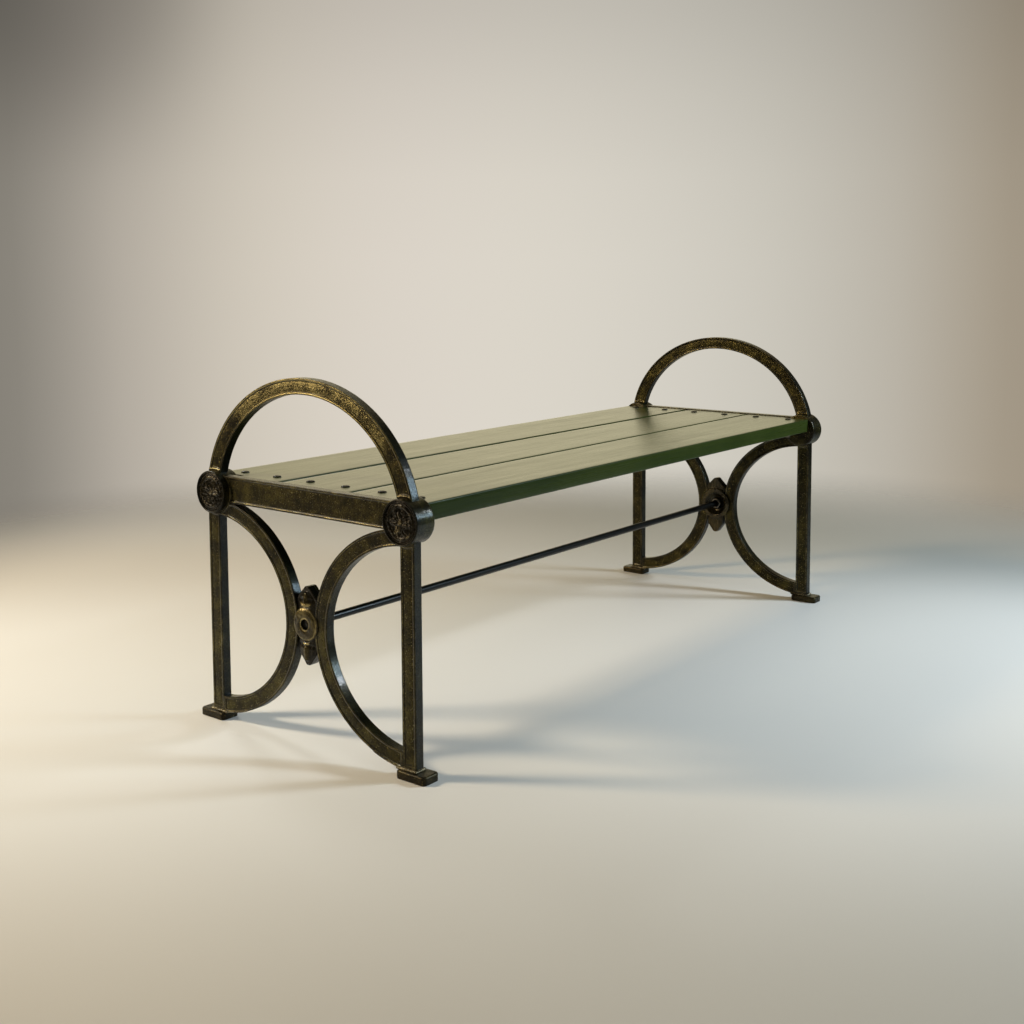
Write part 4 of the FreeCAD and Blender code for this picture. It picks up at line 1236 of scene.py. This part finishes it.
def floor_plane():
    reach = FLOOR_REACH
    mesh = bpy.data.meshes.new("studio_floor")
    corners = [(-reach, -reach, 0), (reach, -reach, 0), (reach, reach, 0), (-reach, reach, 0)]
    mesh.from_pydata(corners, [], [(0, 1, 2, 3)])
    mesh.materials.append(floor_finish())
    floor = set_out("studio_floor", mesh)


def srgb(red, green, blue):
    """A screen colour, each part from 0 to 255, as linear light."""
    out = []
    for value in (red, green, blue):
        value /= 255
        out.append(value / 12.92 if value <= 0.04045 else ((value + 0.055) / 1.055) ** 2.4)
    return (*out, 1.0)


# by share of a quarter turn, from the left of the glow to its right
GLOW = (
    (0.0, (122, 115, 104)), (0.07, (122, 115, 104)), (0.16, (112, 107, 99)), (0.269, (131, 127, 118)),
    (0.314, (178, 170, 159)), (0.374, (210, 202, 187)), (0.435, (219, 211, 200)), (0.50, (220, 214, 202)),
    (0.562, (214, 209, 198)), (0.624, (203, 199, 188)), (0.683, (185, 179, 167)), (0.730, (163, 151, 132)),
    (0.84, (138, 127, 111)), (0.93, (122, 115, 104)), (1.0, (122, 115, 104)),
)
# by share of the way from straight down to straight up
DARKENING = (
    (0.0, 0.45), (0.33, 0.62), (0.40, 0.82), (0.44, 1.0), (0.50, 1.0), (0.52, 0.97), (0.54, 0.88),
    (0.559, 0.77), (0.60, 0.62), (0.70, 0.5), (1.0, 0.4),
)


def ramp_along(tree, source, stops, interpolation="LINEAR"):
    """Colours along a value, from (place, colour) stops."""
    node = stitch(tree, "ShaderNodeValToRGB", {0: source})
    ramp = node.color_ramp
    ramp.interpolation = interpolation
    while len(ramp.elements) > 1:
        ramp.elements.remove(ramp.elements[-1])
    ramp.elements[0].position = stops[0][0]
    ramp.elements[0].color = stops[0][1]
    for position, colour in stops[1:]:
        ramp.elements.new(position).color = colour
    return node.outputs[0]


def backdrop():
    """Seamless backdrop: a glow behind the bench, repeated each quarter turn, darker above."""
    world = bpy.data.worlds.new("studio")
    bpy.context.scene.world = world
    world.use_nodes = True
    tree = world.node_tree
    tree.nodes.clear()
    way = stitch(tree, "ShaderNodeTexCoord").outputs["Generated"]
    parts = stitch(tree, "ShaderNodeSeparateXYZ", {0: way}).outputs
    bearing = sums(tree, "ARCTAN2", parts["X"], parts["Y"])
    off_axis = sums(tree, "SUBTRACT", bearing, CAMERA_YAW)
    quarters = sums(tree, "DIVIDE", off_axis, math.pi / 2)
    quarter = worked(tree, "FRACT", sums(tree, "ADD", quarters, TURNS_ON))
    glow = ramp_along(tree, quarter, [(place, srgb(*colour)) for place, colour in GLOW], "B_SPLINE")
    rise = sums(tree, "DIVIDE", worked(tree, "ARCSINE", parts["Z"]), math.pi)
    grey = [(place, (level, level, level, 1)) for place, level in DARKENING]
    height = ramp_along(tree, sums(tree, "ADD", rise, 0.5), grey)
    shown = mix(tree, 1.0, glow, height, "MULTIPLY")
    # the upper left of each quarter falls off sooner
    off_corner = worked(tree, "ABSOLUTE", sums(tree, "SUBTRACT", quarter, 0.295))
    corner = remap(tree, off_corner, 0.0, 0.11, 1.0, 0.0)
    climb = remap(tree, rise, 0.0, 0.065)
    dimmed = remap(tree, sums(tree, "MULTIPLY", corner, climb), 0.0, 1.0, 1.0, 0.64)
    shown = mix(tree, 1.0, shown, dimmed, "MULTIPLY")
    # what the bench mirrors: bright before and behind the camera, dim to both sides, dark overhead
    halves = sums(tree, "DIVIDE", off_axis, math.pi)
    half = worked(tree, "FRACT", sums(tree, "ADD", halves, TURNS_ON))
    lobe = worked(tree, "ABSOLUTE", sums(tree, "SUBTRACT", half, 0.5))
    glint = remap(tree, lobe, 0.13, 0.25, 1.0, 0.05)
    strength = sums(tree, "MULTIPLY", glint, MIRRORED)
    warmed = mix(tree, 1.0, shown, (1.0, 0.95, 0.72, 1.0), "MULTIPLY")
    mirrored = stitch(tree, "ShaderNodeBackground", {"Color": warmed, "Strength": strength})
    plain = stitch(tree, "ShaderNodeBackground", {"Color": shown, "Strength": 1.0})
    ambient = stitch(tree, "ShaderNodeBackground", {"Color": shown, "Strength": AMBIENT}, name="ambient")
    ray = stitch(tree, "ShaderNodeLightPath").outputs
    unseen = stitch(tree, "ShaderNodeMixShader",
                    {0: ray["Is Glossy Ray"], 1: ambient.outputs[0], 2: mirrored.outputs[0]})
    light = stitch(tree, "ShaderNodeMixShader",
                   {0: ray["Is Camera Ray"], 1: unseen.outputs[0], 2: plain.outputs[0]})
    stitch(tree, "ShaderNodeOutputWorld", {"Surface": light.outputs[0]})


def aimed(name, data, place, aim, power, colour):
    """Sets a light in its place, pointing at aim."""
    data.energy = power
    data.color = colour
    lamp = set_out(name, data)
    lamp.location = place
    lamp.rotation_euler = (Vector(aim) - Vector(place)).to_track_quat("-Z", "Y").to_euler()


def soft_light(name, place, aim, size, power, colour):
    data = bpy.data.lights.new(name, "AREA")
    data.shape = "RECTANGLE"
    data.size, data.size_y = size
    aimed(name, data, place, aim, power, colour)


def pool_light(name, place, aim, angle, power, colour):
    """A spot with a fully soft edge, for a pool of light on the floor."""
    data = bpy.data.lights.new(name, "SPOT")
    data.spot_size = math.radians(angle)
    data.spot_blend = 1.0
    data.shadow_soft_size = 0.3
    aimed(name, data, place, aim, power, colour)


def camera():
    data = bpy.data.cameras.new("camera")
    data.sensor_width = 36.0
    data.lens = CAMERA_LENS
    data.shift_y = CAMERA_SHIFT
    data.clip_start = 0.05
    seer = set_out("camera", data)
    forward = Vector((math.sin(CAMERA_YAW) * math.cos(CAMERA_PITCH),
                      math.cos(CAMERA_YAW) * math.cos(CAMERA_PITCH), math.sin(CAMERA_PITCH)))
    right = Vector((math.cos(CAMERA_YAW), -math.sin(CAMERA_YAW), 0.0))
    up = right.cross(forward)
    tilted_right = right * math.cos(CAMERA_ROLL) + up * math.sin(CAMERA_ROLL)
    tilted_up = up * math.cos(CAMERA_ROLL) - right * math.sin(CAMERA_ROLL)
    turn = Matrix((tilted_right, tilted_up, -forward)).transposed()
    seer.matrix_world = Matrix.Translation(CAMERA_PLACE) @ turn.to_4x4()
    bpy.context.scene.camera = seer


floor_plane()
backdrop()
pool_light("left pool", WARM_STAND, (-1.0, 0.75, 0.0), 38.0, 265.0, (0.84, 0.95, 1.0))
pool_light("warm wash", WARM_STAND, (-0.6, 0.2, 0.0), 90.0, 320.0, (1.0, 0.72, 0.37))
pool_light("right pool", COOL_STAND, (0.35, -0.75, 0.0), 38.0, 432.0, (0.83, 0.90, 0.97))
pool_light("rear pool", (0.2, 2.4, 2.6), (-0.3, 1.0, 0.0), 60.0, 94.0, (0.95, 0.99, 1.0))
soft_light("top fill", (0.0, 0.0, 3.6), (0.0, 0.0, 0.0), (3.0, 3.0), 20.0, (0.97, 1.0, 0.87))
soft_light("front fill", (-2.0, -2.6, 2.6), (-0.4, -0.3, 0.0), (2.0, 1.5), 8.0, (0.85, 0.95, 1.0))
soft_light("warm window", (-2.7, 2.3, 1.15), (-0.7, 0.2, 0.35), (1.0, 0.7), 22.0, (1.0, 0.80, 0.58))
soft_light("cool window", (1.9, -2.8, 1.55), (0.2, -0.5, 0.2), (0.8, 0.9), 58.0, (0.60, 0.83, 1.0))
camera()
bpy.context.scene.view_settings.view_transform = "Standard"
